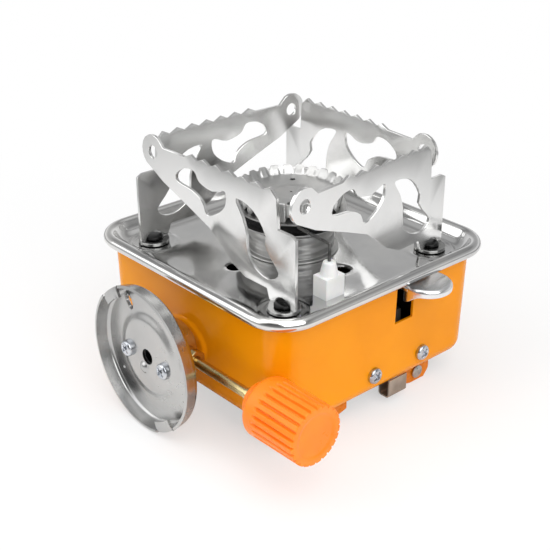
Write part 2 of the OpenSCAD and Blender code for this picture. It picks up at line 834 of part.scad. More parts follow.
module gas_dish() color(steel) raise() at_valve() {
    c = [dish_r - dish_flare - dish_bend, dish_floor - dish_t + dish_bend];
    difference() {
        union() {
            rotate_extrude($fn = fine) polygon(concat(
                [[dish_hole_r, boss_face], [dish_hole_r, seat_face],
                    [boss_r - boss_edge - dish_t / 2, seat_face],
                    [boss_r + boss_edge - dish_t / 2, dish_floor - dish_t]],
                arc(c, dish_bend, -90, 0, 4),
                [[dish_r, dish_rim], [dish_r - dish_t, dish_rim]],
                arc(c, dish_bend - dish_t, 0, -90, 4),
                [[boss_r + boss_edge, dish_floor], [boss_r - boss_edge, boss_face]]));
            for (turn = rim_tab_turn) {
                rotate(turn) intersection() {
                    translate([0, 0, dish_rim - dish_t])
                        cylinder(r = dish_r - dish_t / 2, h = dish_t, $fn = fine);
                    translate([dish_r - rim_tab_w, -rim_tab_l / 2, dish_floor])
                        cube([rim_tab_w, rim_tab_l, 2 * dish_depth]);
                }
            }
            translate([nub_at[0], nub_at[1], boss_face - dish_t / 2])
                cylinder(r = nub_r, h = dish_t / 2 + nub_t);
        }
        for (turn = rim_tab_turn, end = [-1, 1]) {
            rotate(turn) translate([dish_r - rim_tab_w, end * (rim_tab_l + slit_w) / 2 - slit_w / 2,
                    dish_rim - slit_l])
                cube([2 * rim_tab_w, slit_w, slit_l + over]);
        }
        rotate(key_turn) translate([key_at - key_h / 2, -key_w / 2, dish_floor - 2 * dish_t])
            cube([key_h, key_w, 3 * dish_t]);
        for (p = dish_screw_at) {
            translate([p[0], p[1], seat_from]) cylinder(r = screw_r + play, h = dish_depth);
        }
    }
}

module dish_screws() color(steel) raise() at_valve() {
    for (p = dish_screw_at) {
        translate([p[0], p[1], boss_face]) pan_screw(dish_t + seat_t);
    }
}

module inlet_nozzle() color(brass) raise() at_valve() {
    ring(nozzle_r, inlet_r, nozzle_from, seat_face);
}

module inlet_seal() color(black) raise() at_valve() {
    ring(nozzle_r, seal_hole_r, seal_from, nozzle_from);
}

module igniter_lever() color(steel) raise() {
    inner = box_half - neck_in;
    difference() {
        union() {
            translate([tab_x, tab_y, tab_top - tab_t]) rotate_extrude($fn = fine / 2)
                polygon(concat([[0, 0], [tab_r, 0]],
                    arc([tab_r - tab_edge, tab_t - tab_edge], tab_edge, 0, 90, 4),
                    [[0, tab_t]]));
            translate([inner, neck_y[0], neck_low])
                cube([tab_x - inner, neck_y[1] - neck_y[0], neck_t]);
        }
        translate([inner - over, neck_y[1], neck_low - tab_t])
            cube([neck_in + run_gap + over, tab_r, 2 * tab_t + over]);
        translate([inner - over, neck_y[0] - tab_r, neck_low - tab_t])
            cube([neck_in + run_gap + over, tab_r, 2 * tab_t + over]);
        translate([inner - over, neck_y[0] - tab_r, neck_top])
            cube([neck_in + run_gap + over, 4 * tab_r, tab_t]);
        translate([inner - over, neck_y[0] - tab_r, neck_low - tab_t])
            cube([neck_in + run_gap + over, 4 * tab_r, tab_t]);
    }
}

module piezo_plunger() color([0.5, 0.5, 0.5]) raise() {
    translate([bracket_x - box_wall - plunger_l, slot_y - plunger_w / 2, neck_low - plunger_h])
        cube([plunger_l, plunger_w, plunger_h]);
}

module piezo_housing() color([0.2, 0.2, 0.2]) raise() {
    foot = plate_top + bracket_t;
    well = neck_low - plunger_h - tab_travel - run_gap;
    difference() {
        translate([bracket_x - housing_l, slot_y - bracket_w / 2, foot])
            cube([housing_l, bracket_w, housing_top - foot]);
        translate([bracket_x - box_wall - plunger_l - run_gap,
                slot_y - plunger_w / 2 - run_gap, well])
            cube([plunger_l + 2 * run_gap, plunger_w + 2 * run_gap, housing_top]);
    }
}

module piezo_bracket() color([0.62, 0.6, 0.55]) raise() {
    out = box_half - box_draft - bracket_out;
    translate([0, slot_y + bracket_w / 2, 0]) rotate([90, 0, 0]) linear_extrude(bracket_w)
        polygon([[bracket_x, bracket_high], [bracket_x, plate_top + bracket_t],
            [bracket_x - bracket_foot_l, plate_top + bracket_t],
            [bracket_x - bracket_foot_l, plate_top], [bracket_x, plate_top],
            [bracket_x, -bracket_low], [out - bracket_t, -bracket_low],
            [out, bracket_t - bracket_low], [out, -bracket_gap],
            [out - bracket_t, -bracket_gap], [out - bracket_t, bracket_t - bracket_low],
            [bracket_x + bracket_t, bracket_t - bracket_low],
            [bracket_x + bracket_t, bracket_high]]);
}

module insulator() color([0.95, 0.94, 0.9]) raise(box_h) translate([rod_x, rod_y, 0])
difference() {
    union() {
        translate([-ceramic_l / 2, -ceramic_w / 2, 0]) cube([ceramic_l, ceramic_w, ceramic_h]);
        translate([0, 0, -stub_l]) cylinder(r = stub_r, h = stub_l + ceramic_h / 2);
        translate([0, 0, ceramic_h]) rotate_extrude() polygon(concat(
            [[0, -over], [cone_top_r, -over], [cone_top_r, 0], [min(cone_r, ceramic_l / 2), 0]],
            arc([cone_top_r - cone_cap, cone_h], cone_cap, 0, 90, 3), [[0, cone_h + cone_cap]]));
    }
    translate([0, 0, wire_start]) cylinder(r = wire_r + play, h = ceramic_h + 2 * cone_h);
}

// The wire rises from the ceramic and bends over to the edge of the flame plate
module electrode() color(steel) raise(box_h) {
    tip_r = crown_r + flame_over + spark_gap;
    tip = [tip_r * cos(spark_turn), tip_r * sin(spark_turn), crown_z - flame_t / 2];
    bend = [rod_x, rod_y, wire_rise];
    run = tip - bend;
    flat = norm([run[0], run[1]]);
    translate([rod_x, rod_y, wire_start]) cylinder(r = wire_r, h = wire_rise - wire_start);
    translate(bend) sphere(r = wire_r);
    translate(bend) rotate([0, 90 + atan2(-run[2], flat), atan2(run[1], run[0])])
        cylinder(r = wire_r, h = norm(run));
}

body_shell();
tray();
base_plate();
side_screws();
leg_a();
leg_b();
leg_c();
leg_d();
leg_rivets();
pot_support_a();
pot_support_b();
pot_support_c();
pot_support_d();
support_rivets();
burner_cap();
flame_plate();
burner_screen();
burner_cup();
burner_nut();
mixing_tube();
jet();
valve_body();
valve_union();
spindle_gland();
valve_spindle();
knob_ferrule();
knob();
gas_dish();
dish_screws();
inlet_nozzle();
inlet_seal();
igniter_lever();
piezo_plunger();
piezo_housing();
piezo_bracket();
insulator();
electrode();
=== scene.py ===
import math
import bpy
import numpy as np
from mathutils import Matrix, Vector


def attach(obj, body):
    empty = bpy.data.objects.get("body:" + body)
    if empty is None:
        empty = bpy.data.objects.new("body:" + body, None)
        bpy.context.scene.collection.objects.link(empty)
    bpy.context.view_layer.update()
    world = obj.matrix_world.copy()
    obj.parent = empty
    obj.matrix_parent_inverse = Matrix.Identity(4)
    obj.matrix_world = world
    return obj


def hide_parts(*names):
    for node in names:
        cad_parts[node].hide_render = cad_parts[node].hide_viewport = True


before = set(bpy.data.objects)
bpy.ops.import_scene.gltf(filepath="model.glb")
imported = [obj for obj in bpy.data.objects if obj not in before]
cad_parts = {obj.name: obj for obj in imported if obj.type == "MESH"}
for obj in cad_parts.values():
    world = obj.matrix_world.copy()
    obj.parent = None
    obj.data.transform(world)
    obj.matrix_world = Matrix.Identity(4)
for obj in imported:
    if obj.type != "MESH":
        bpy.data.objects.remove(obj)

scene = bpy.context.scene
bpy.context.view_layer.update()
mm = 0.001
lift = 7.4         # the folded legs lift the box this far off the table
floorTop = 43.4    # upper face of the tray's flat floor
tiny = 1e-6
weldReach = {"surface": 1e-6, "node": 2e-6}    # in metres
# sockets of a mix node, for numbers and for colours
mixNumber = {"a": 2, "b": 3, "out": 0}
mixColour = {"a": 6, "b": 7, "out": 2}


# Finishes: tones run over a soft cloud, grain drives the roughness and the bump

finishes = {
    "enamel": {"tones": [(238, 146, 6), (243, 151, 8), (246, 156, 12)], "metal": 0,
               "rough": 0.2, "spread": 0.05, "cloud": 38, "grain": (620, 620, 620),
               "bump": 0.1, "depth": 0.012, "gloss": 0.15},
    # painted shade: a darker copy of the enamel for the legs, which sit in shade under the box
    "shadedLegEnamel": {"tones": [(216, 116, 10), (224, 124, 14), (230, 130, 18)], "metal": 0,
                  "rough": 0.28, "spread": 0.06, "cloud": 60, "grain": (620, 620, 620),
                  "bump": 0.14, "depth": 0.012, "gloss": 0.26},
    # painted shade: a near-black finish for the box's inner face, standing in for the shade inside
    # the box
    "boxInsideShade": {"tones": [(26, 22, 18), (34, 29, 24), (42, 36, 30)], "metal": 0,
                  "rough": 0.6, "spread": 0.08, "cloud": 60, "grain": (620, 620, 620),
                  "bump": 0.2, "depth": 0.014, "gloss": 0.2},
    "traySteel": {"tones": [(204, 204, 204), (213, 213, 212), (220, 219, 217)], "metal": 1,
                  "rough": 0.12, "spread": 0.04, "cloud": 40, "grain": (420, 420, 420),
                  "bump": 0.02, "depth": 0.005},
    # supportSheet's footShadeTone is painted shade: a darker tone on each support's foot disc, low
    # by the tray floor
    "supportSheet": {"tones": [(224, 224, 223), (232, 232, 231), (238, 237, 236)], "metal": 1,
                     "rough": 0.23, "spread": 0.03, "cloud": 30, "grain": (300, 300, 300),
                     "bump": 0.015, "depth": 0.006, "footShadeTone": (150, 150, 149)},
    "dishSteel": {"tones": [(170, 170, 170), (184, 184, 183), (194, 193, 191)], "metal": 1,
                  "rough": 0.24, "spread": 0.04, "cloud": 45, "grain": (420, 420, 420),
                  "bump": 0.03, "depth": 0.008},
    "crownSteel": {"tones": [(184, 184, 183), (198, 198, 197), (208, 207, 205)], "metal": 1,
                   "rough": 0.36, "spread": 0.04, "cloud": 60, "grain": (420, 420, 420),
                   "bump": 0.02, "depth": 0.006},
    "cupSteel": {"tones": [(140, 140, 140), (160, 160, 159), (174, 173, 171)], "metal": 1,
                 "rough": 0.34, "spread": 0.06, "cloud": 80, "grain": (420, 420, 420),
                 "bump": 0.04, "depth": 0.008},
    "darkScreen": {"tones": [(22, 22, 23), (34, 34, 35), (48, 47, 46)], "metal": 0.6,
                   "rough": 0.5, "spread": 0.12, "cloud": 200, "grain": (2200, 2200, 2200),
                   "bump": 0.3, "depth": 0.02},
    "chrome": {"tones": [(222, 223, 224), (230, 231, 232), (236, 236, 236)], "metal": 1,
               "rough": 0.25, "spread": 0.012, "cloud": 90, "grain": (500, 500, 500),
               "bump": 0.005, "depth": 0.005},
    "screwSteel": {"tones": [(168, 172, 178), (192, 196, 202), (208, 210, 214)], "metal": 1,
                   "rough": 0.2, "spread": 0.08, "cloud": 400, "grain": (1800, 1800, 1800),
                   "bump": 0.2, "depth": 0.012},
    "rivetSteel": {"tones": [(150, 150, 148), (176, 176, 174), (190, 189, 186)], "metal": 1,
                   "rough": 0.3, "spread": 0.08, "cloud": 350, "grain": (1600, 1600, 1600),
                   "bump": 0.2, "depth": 0.012},
    "zincPlate": {"tones": [(142, 143, 142), (164, 165, 163), (180, 180, 177)], "metal": 1,
                  "rough": 0.36, "spread": 0.1, "cloud": 65, "grain": (1100, 1100, 1100),
                  "bump": 0.25, "depth": 0.014},
    "bracketSteel": {"tones": [(150, 141, 130), (170, 161, 150), (184, 175, 165)], "metal": 0.8,
                     "rough": 0.38, "spread": 0.1, "cloud": 120, "grain": (900, 900, 900),
                     "bump": 0.25, "depth": 0.014},
    "blackRivet": {"tones": [(6, 6, 6), (11, 11, 11), (18, 18, 18)], "metal": 0,
                   "rough": 0.3, "spread": 0.07, "cloud": 260, "grain": (1200, 1200, 1200),
                   "bump": 0.18, "depth": 0.012, "gloss": 0.25},
    "brass": {"tones": [(158, 126, 62), (184, 150, 78), (198, 166, 96)], "metal": 1,
              "rough": 0.26, "spread": 0.09, "cloud": 180, "grain": (1200, 1200, 1200),
              "bump": 0.2, "depth": 0.012},
    "chromate": {"tones": [(176, 158, 112), (196, 174, 126), (208, 188, 140), (192, 186, 136)],
                 "metal": 1, "rough": 0.24, "spread": 0.04, "cloud": 110,
                 "grain": (500, 500, 500), "bump": 0.03, "depth": 0.006},
    "knobPlastic": {"tones": [(252, 129, 24), (255, 136, 30), (255, 142, 36)], "metal": 0,
                    "rough": 0.32, "spread": 0.06, "cloud": 70, "grain": (900, 900, 900),
                    "bump": 0.05, "depth": 0.01, "gloss": 0.3, "glow": 0.08},
    "greyPlastic": {"tones": [(88, 88, 87), (104, 104, 102), (118, 117, 115)], "metal": 0,
                    "rough": 0.4, "spread": 0.08, "cloud": 150, "grain": (1400, 1400, 1400),
                    "bump": 0.25, "depth": 0.014},
    "blackPlastic": {"tones": [(14, 14, 14), (22, 22, 22), (30, 30, 30)], "metal": 0,
                     "rough": 0.42, "spread": 0.08, "cloud": 150, "grain": (1400, 1400, 1400),
                     "bump": 0.25, "depth": 0.014},
    "ceramic": {"tones": [(236, 236, 235), (241, 241, 240), (246, 246, 245)], "metal": 0,
                "rough": 0.36, "spread": 0.06, "cloud": 120, "grain": (900, 900, 900),
                "bump": 0.05, "depth": 0.01, "gloss": 0.35, "glow": 0.12},
    "rubber": {"tones": [(20, 20, 20), (28, 28, 27), (36, 35, 34)], "metal": 0,
               "rough": 0.7, "spread": 0.1, "cloud": 200, "grain": (1600, 1600, 1600),
               "bump": 0.3, "depth": 0.014},
    "wireSteel": {"tones": [(74, 74, 73), (96, 96, 95), (116, 115, 113)], "metal": 1,
                  "rough": 0.3, "spread": 0.04, "cloud": 300, "grain": (1600, 1600, 500),
                  "bump": 0.2, "depth": 0.01},
}

# What the finishes share: the noise levels between which the tones and the roughness change,
# the glow's depth in mm for each colour, and the heights between which the painted shade on a
# support's foot ends
shading = {"gloss": 0.5, "toneSpan": (0.34, 0.66), "roughSpan": (0.75, 1.25),
           "cloudDetail": 4, "grainDetail": 5, "glowColours": (1, 0.4, 0.15), "glowDeep": 2.5,
           "footShadeSpan": (floorTop + 1.35, floorTop + 1.65)}


# A written 0..255 colour as the linear values that the shader takes
def asLinear(rgb):
    share = np.array(rgb) / 255
    curved = np.where(share <= 0.04045, share / 12.92, ((share + 0.055) / 1.055) ** 2.4)
    return (*curved.tolist(), 1.0)


# Map range node from one pair of values to another, straight or as a smooth step
def mapRange(nodes, span, reach=(0, 1), smooth=False):
    node = nodes.new("ShaderNodeMapRange")
    if smooth:
        node.interpolation_type = "SMOOTHSTEP"
    for end, value in zip(("From Min", "From Max", "To Min", "To Max"), (*span, *reach)):
        node.inputs[end].default_value = value
    return node


def makeFinish(name):
    look = finishes[name]
    material = bpy.data.materials.new(name)
    material.use_nodes = True
    nodes, links = material.node_tree.nodes, material.node_tree.links
    shader = nodes["Principled BSDF"]
    shader.inputs["Metallic"].default_value = look["metal"]
    shader.inputs["Specular IOR Level"].default_value = look.get("gloss", shading["gloss"])
    shader.inputs["Subsurface Weight"].default_value = look.get("glow", 0)
    shader.inputs["Subsurface Radius"].default_value = shading["glowColours"]
    shader.inputs["Subsurface Scale"].default_value = shading["glowDeep"] * mm
    spot = nodes.new("ShaderNodeTexCoord")
    cloud = nodes.new("ShaderNodeTexNoise")
    cloud.inputs["Scale"].default_value = look["cloud"]
    cloud.inputs["Detail"].default_value = shading["cloudDetail"]
    links.new(spot.outputs["Object"], cloud.inputs["Vector"])
    ramp = nodes.new("ShaderNodeValToRGB")
    stops = ramp.color_ramp.elements
    places = np.linspace(*shading["toneSpan"], len(look["tones"]))
    while len(stops) < len(places):
        stops.new(0.5)
    for stop, place, rgb in zip(stops, places, look["tones"]):
        stop.position = place
        stop.color = asLinear(rgb)
    links.new(cloud.outputs[0], ramp.inputs[0])
    tone = ramp.outputs[0]
    if "footShadeTone" in look:
        # painted shade: the foot disc of a support, low by the tray floor, gets a darker tone than
        # its sheet
        level = nodes.new("ShaderNodeSeparateXYZ")
        links.new(spot.outputs["Object"], level.inputs[0])
        rise = mapRange(nodes, [height * mm for height in shading["footShadeSpan"]])
        links.new(level.outputs["Z"], rise.inputs["Value"])
        foot = nodes.new("ShaderNodeMix")
        foot.data_type = "RGBA"
        foot.inputs[mixColour["a"]].default_value = asLinear(look["footShadeTone"])
        links.new(rise.outputs[0], foot.inputs[0])
        links.new(tone, foot.inputs[mixColour["b"]])
        tone = foot.outputs[mixColour["out"]]
    links.new(tone, shader.inputs["Base Color"])
    stretch = nodes.new("ShaderNodeMapping")
    stretch.inputs["Scale"].default_value = look["grain"]
    links.new(spot.outputs["Object"], stretch.inputs["Vector"])
    grain = nodes.new("ShaderNodeTexNoise")
    grain.inputs["Scale"].default_value = 1
    grain.inputs["Detail"].default_value = shading["grainDetail"]
    links.new(stretch.outputs[0], grain.inputs["Vector"])
    both = nodes.new("ShaderNodeMath")
    both.operation = "ADD"
    links.new(cloud.outputs[0], both.inputs[0])
    links.new(grain.outputs[0], both.inputs[1])
    rough = mapRange(nodes, shading["roughSpan"],
                     (look["rough"] - look["spread"], look["rough"] + look["spread"]))
    links.new(both.outputs[0], rough.inputs["Value"])
    links.new(rough.outputs[0], shader.inputs["Roughness"])
    relief = nodes.new("ShaderNodeBump")
    relief.inputs["Strength"].default_value = look["bump"]
    relief.inputs["Distance"].default_value = look["depth"] * mm
    links.new(grain.outputs[0], relief.inputs["Height"])
    links.new(relief.outputs[0], shader.inputs["Normal"])
    return material


materials = {name: makeFinish(name) for name in finishes}
print("finishes:", len(materials))


# Surfaces: grids of points in millimetres, put into meshes whole

quarterTurns = [(1, 0), (0, 1), (-1, 0), (0, -1)]    # cosine and sine of each
snapShare = 0.55


# 0 below 0, 1 above 1, and 3x^2 - 2x^3 between them
def ease(x):
    x = np.clip(x, 0, 1)
    return x * x * (3 - 2 * x)


# Points of an arc: centre plus radius times cos and sin, from angle a to b in degrees
def arc(centre, radius, a, b, steps):
    turn = np.radians(np.linspace(a, b, steps + 1))
    return np.stack([centre[0] + radius * np.cos(turn), centre[1] + radius * np.sin(turn)], 1)


# Straight run of points from p to q, without p
def run(p, q, steps):
    share = np.linspace(0, 1, steps + 1)[1:, None]
    return np.array(p) * (1 - share) + np.array(q) * share


# Angles of the columns once round
def fullTurn(columns):
    return np.arange(columns) * (2 * math.pi / columns)


# Profile (r, z) turned about the Z axis
def turned(profile, columns):
    turn = fullTurn(columns)
    r, z = profile[:, :1], profile[:, 1:]
    return np.stack([r * np.cos(turn), r * np.sin(turn), z + 0 * turn], -1)


# Depth of evenly spaced grooves by angle: 1 at half their width or less from a middle, then
# eased to 0 over the flank, both as shares of the spacing
def grooves(turn, count, half, flank):
    away = np.abs((turn * count / (2 * math.pi) + 0.5) % 1 - 0.5)
    return 1 - ease((away - half) / flank)


# Once round a rounded square, +X side first: each column has a foot on the core square and
# a unit vector outwards, so foot + d * out lies at the distance d from the core
def squareLoop(core, sides, cornerSteps):
    feet, outs = [], []
    for (c, s), along in zip(quarterTurns, sides):
        corner = np.radians(np.linspace(0, 90, cornerSteps + 1)[1:-1])
        foot = np.concatenate([np.stack([np.full(len(along), core), along], 1),
                               np.full((cornerSteps - 1, 2), core)])
        out = np.concatenate([np.tile([1.0, 0.0], (len(along), 1)),
                              np.stack([np.cos(corner), np.sin(corner)], 1)])
        spin = np.array([[c, s], [-s, c]])
        feet.append(foot @ spin)
        outs.append(out @ spin)
    return np.concatenate(feet), np.concatenate(outs)


# Profile (d, z) carried round the loop: points[i, j] = (foot j + d i * out j, z i)
def carried(profile, feet, outs):
    flat = feet[None] + profile[:, None, :1] * outs[None]
    z = np.broadcast_to(profile[:, None, 1:], (*flat.shape[:2], 1))
    return np.concatenate([flat, z], -1)


# Quad between rows i, i + 1 and columns j, j + 1, the last column joining the first
def gridQuads(rows, columns):
    i = np.arange(rows - 1)[:, None]
    j = np.arange(columns)[None, :]
    after = (j + 1) % columns
    return np.stack(np.broadcast_arrays(i * columns + j, i * columns + after,
                                        (i + 1) * columns + after, (i + 1) * columns + j), -1)


def quadCentres(points, quads):
    return points.reshape(-1, 3)[quads].mean(-2)


# Grid points less than snapShare of a cell from the circle move onto it
def roundHole(points, centre, radius, cell):
    off = points[..., :2] - np.array(centre)
    reach = np.linalg.norm(off, axis=-1, keepdims=True)
    onEdge = np.array(centre) + off * radius / np.maximum(reach, tiny)
    points[..., :2] = np.where(np.abs(reach - radius) < snapShare * cell, onEdge,
                               points[..., :2])


# Keeps the points that the quads use and turns the quads to face outwards: along facing,
# or away from the point inside
def addSurface(name, points, quads, look, facing=None, inside=None):
    used, packed = np.unique(quads.reshape(-1, 4), return_inverse=True)
    corners = points.reshape(-1, 3)[used]
    quads = packed.reshape(-1, 4)
    a, b, c, d = (corners[quads[:, k]] for k in range(4))
    normals = np.cross(c - a, d - b)
    ray = np.array(facing) if inside is None else (a + c) / 2 - np.array(inside)
    if (normals * ray).sum() < 0:
        quads = quads[:, ::-1]
    mesh = bpy.data.meshes.new(name)
    mesh.from_pydata((corners * mm).tolist(), [], quads.tolist())
    mesh.polygons.foreach_set("use_smooth", np.ones(len(quads), dtype=bool))
    mesh.materials.append(materials[look])
    mesh.update()
    piece = bpy.data.objects.new(name, mesh)
    scene.collection.objects.link(piece)
    return piece


# Joins the points that meet
def weldPoints(piece, reach):
    weld = piece.modifiers.new("weld", "WELD")
    weld.merge_threshold = reach


# Parts the shading where faces meet at more than the angle
def partShading(piece, angle):
    split = piece.modifiers.new("crease", "EDGE_SPLIT")
    split.split_angle = math.radians(angle)
    split.use_edge_sharp = False


# Gives a sheet its thickness behind its face, and keeps its cut edges crisp
def finishSheet(piece, sheet=0, crease=38, even=True):
    weldPoints(piece, weldReach["surface"])
    if sheet:
        solid = piece.modifiers.new("sheet", "SOLIDIFY")
        solid.thickness = sheet * mm
        solid.offset = -1
        solid.use_even_offset = even
    partShading(piece, crease)


def standIn(piece, body, node):
    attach(piece, body)
    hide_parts(node)


# Enamelled box

box = {"core": 34.0, "bend": (2.5, 5.0), "bendRadius": 5.0, "bendSweep": 78,
       "wallOut": 8.3, "wallTop": 35.8, "topRound": 0.4, "sheet": 0.8,
       "collarAt": (-1.8, 16.4), "collarHalf": (10.0, 7.5), "collarFace": 42.79,
       "collarEnd": 1.04, "collarSoft": 0.13, "frontFrom": 36.0,
       "slotY": (4.7, 12.5), "slotLow": 22.4, "wideY": 17.5, "wideLow": 28.4, "inside": (0, 0, 20),
       "steps": {"fine": 137, "coarse": 35, "corner": 16, "wall": 46, "bend": 12, "top": 3}}


# Profile (d, z) of foot bend, drafted wall and top edge, carried round the square loop.
# The collar pulls the -Y wall out to one plane inside an ellipse
def makeBox():
    steps = box["steps"]
    fine = np.linspace(-box["core"], box["core"], steps["fine"])
    coarse = np.linspace(-box["core"], box["core"], steps["coarse"])
    slotSide = np.unique(np.concatenate([fine, box["slotY"], [box["wideY"]]]))
    feet, outs = squareLoop(box["core"], [slotSide, coarse, coarse, fine], steps["corner"])
    wallFoot = (box["bend"][0] + box["bendRadius"], box["bend"][1])
    heights = np.unique(np.concatenate([
        np.linspace(wallFoot[1], box["wallTop"], steps["wall"])[1:],
        [box["slotLow"], box["wideLow"]]]))
    rise = (heights - wallFoot[1]) / (box["wallTop"] - wallFoot[1])
    wall = np.stack([wallFoot[0] + (box["wallOut"] - wallFoot[0]) * rise, heights], 1)
    points = carried(np.concatenate([
        arc(box["bend"], box["bendRadius"], -box["bendSweep"], 0, steps["bend"]), wall,
        arc((box["wallOut"] - box["topRound"], box["wallTop"]), box["topRound"], 0, 90,
            steps["top"])[1:]]), feet, outs)
    onFront = points[..., 1] < -box["frontFrom"]
    ring = np.hypot((points[..., 0] - box["collarAt"][0]) / box["collarHalf"][0],
                    (points[..., 2] - box["collarAt"][1]) / box["collarHalf"][1])
    pull = ease((box["collarEnd"] - ring) / box["collarSoft"]) * onFront
    points[..., 1] += pull * (-box["collarFace"] - points[..., 1])
    quads = gridQuads(*points.shape[:2])
    x, y, z = np.moveaxis(quadCentres(points, quads), -1, 0)
    inSlot = (y > box["slotY"][0]) & (y < box["slotY"][1]) & (z > box["slotLow"])
    inWide = (y > box["slotY"][0]) & (y < box["wideY"]) & (z > box["wideLow"])
    cut = (x > box["core"]) & (inSlot | inWide)
    points[..., 2] += lift
    piece = addSurface("boxShell", points, quads[~cut], "enamel", inside=box["inside"])
    # the inner face of the sheet takes the near-black painted-shade finish
    piece.data.materials.append(materials["boxInsideShade"])
    finishSheet(piece, box["sheet"])
    piece.modifiers["sheet"].material_offset = 1
    standIn(piece, "stove", "body_shell")


makeBox()
print("box done")


# Drip tray

tray = {"core": 33.4, "crease": 2.6, "tubeHole": 5.05, "slopeRun": 6.95, "slopeRise": 3.55,
        "slopePower": 3.4, "bead": (11.2, 2.6), "beadRadius": 1.9, "beadTurn": (150, -55),
        "sheet": 0.8, "cell": 0.6, "cutShare": 0.985,
        "drainAt": 23.6, "drainRadius": 2.5, "drainDip": 0.3, "dipWide": 0.35,
        "padAt": 31.3, "padRadius": 6.3, "padEdge": 0.9, "padShare": 0.99,
        "ridge": 0.16, "ridgeAt": 7.4, "ridgeWide": 0.5,
        "steps": {"side": 89, "corner": 14, "floor": 62, "slope": 18, "bead": 24}}


# Floor: rays from the tube's hole to the crease loop. Outside it the profile (d, z) climbs as
# rise * share^power and rolls over and under as the bead
def makeTray():
    steps = tray["steps"]
    side = np.linspace(-tray["core"], tray["core"], steps["side"])
    feet, outs = squareLoop(tray["core"], [side] * 4, steps["corner"])
    crease = feet + tray["crease"] * outs
    reach = np.linalg.norm(crease, axis=1, keepdims=True)
    share = np.linspace(0, 1, steps["floor"])[:, None, None]
    floor = crease / reach * (tray["tubeHole"] + share * (reach - tray["tubeHole"]))
    floor = np.concatenate([floor, np.zeros((*floor.shape[:2], 1))], -1)
    climb = np.linspace(0, 1, steps["slope"])[1:]
    slope = np.stack([tray["crease"] + tray["slopeRun"] * climb,
                      tray["slopeRise"] * climb ** tray["slopePower"]], 1)
    bead = arc(tray["bead"], tray["beadRadius"], *tray["beadTurn"], steps["bead"])[1:]
    points = np.concatenate([floor, carried(np.concatenate([slope, bead]), feet, outs)])
    # the corner pads stay flat inside a soft ring, and a low ridge runs round each
    pad = np.hypot(np.abs(points[..., 0]) - tray["padAt"], np.abs(points[..., 1]) - tray["padAt"])
    low = points[..., 2] < tray["slopeRise"] * tray["padShare"]
    points[..., 2] *= np.where(low, ease((pad - tray["padRadius"]) / tray["padEdge"]), 1)
    ridge = np.exp(-((pad - tray["ridgeAt"]) / tray["ridgeWide"]) ** 2)
    points[..., 2] += low * tray["ridge"] * ridge
    quads = gridQuads(*points.shape[:2])
    keep = np.ones(quads.shape[:2], dtype=bool)
    for away in quarterTurns:
        hole = np.array(away) * tray["drainAt"]
        roundHole(points, hole, tray["drainRadius"], tray["cell"])
        off = np.linalg.norm(points[..., :2] - hole, axis=-1) - tray["drainRadius"]
        points[..., 2] -= tray["drainDip"] * np.exp(-np.abs(off) / tray["dipWide"])
        centre = quadCentres(points, quads)[..., :2]
        keep &= np.linalg.norm(centre - hole, axis=-1) > tray["drainRadius"] * tray["cutShare"]
    points[..., 2] += floorTop
    piece = addSurface("trayPan", points, quads[keep], "traySteel", facing=(0, 0, 1))
    finishSheet(piece, tray["sheet"])
    standIn(piece, "stove", "tray")


makeTray()
print("tray done")


# Burner: fluted crown, screen and cup

crown = {"radius": 17.0, "height": 6.7, "foot": 58.1, "flutes": 24, "fluteColumns": 24,
         "rows": 78, "blur": 0.25, "sheet": 0.4, "sharp": 50, "grooveHalf": 0.05,
         "grooveFlank": 0.27, "holeTurns": (45, 135, 225, 315), "holeAt": 10.0,
         "holeRadius": 0.9, "cell": 0.32, "cutShare": 0.98, "portTurn": 150, "portHalf": 4.5,
         "portLow": 2.0, "portHigh": 4.4, "portFrom": 0.9, "inside": (0, 0, 54.1),
         # radius and height as shares, then how far a groove draws the crown in and down
         "shares": [[0.02, 0.56, 0, 0], [0.3, 0.56, 0, 0], [0.36, 0.582, 0, 0],
                    [0.835, 0.582, 0, 0], [0.862, 0.64, 0, 0.05], [0.912, 0.806, 0.015, 0.1],
                    [0.985, 1, 0.04, 0.1], [1.006, 0.948, 0.05, 0.09], [0.959, 0.388, 0.045, 0],
                    [0.929, 0, 0.035, -0.2]]}


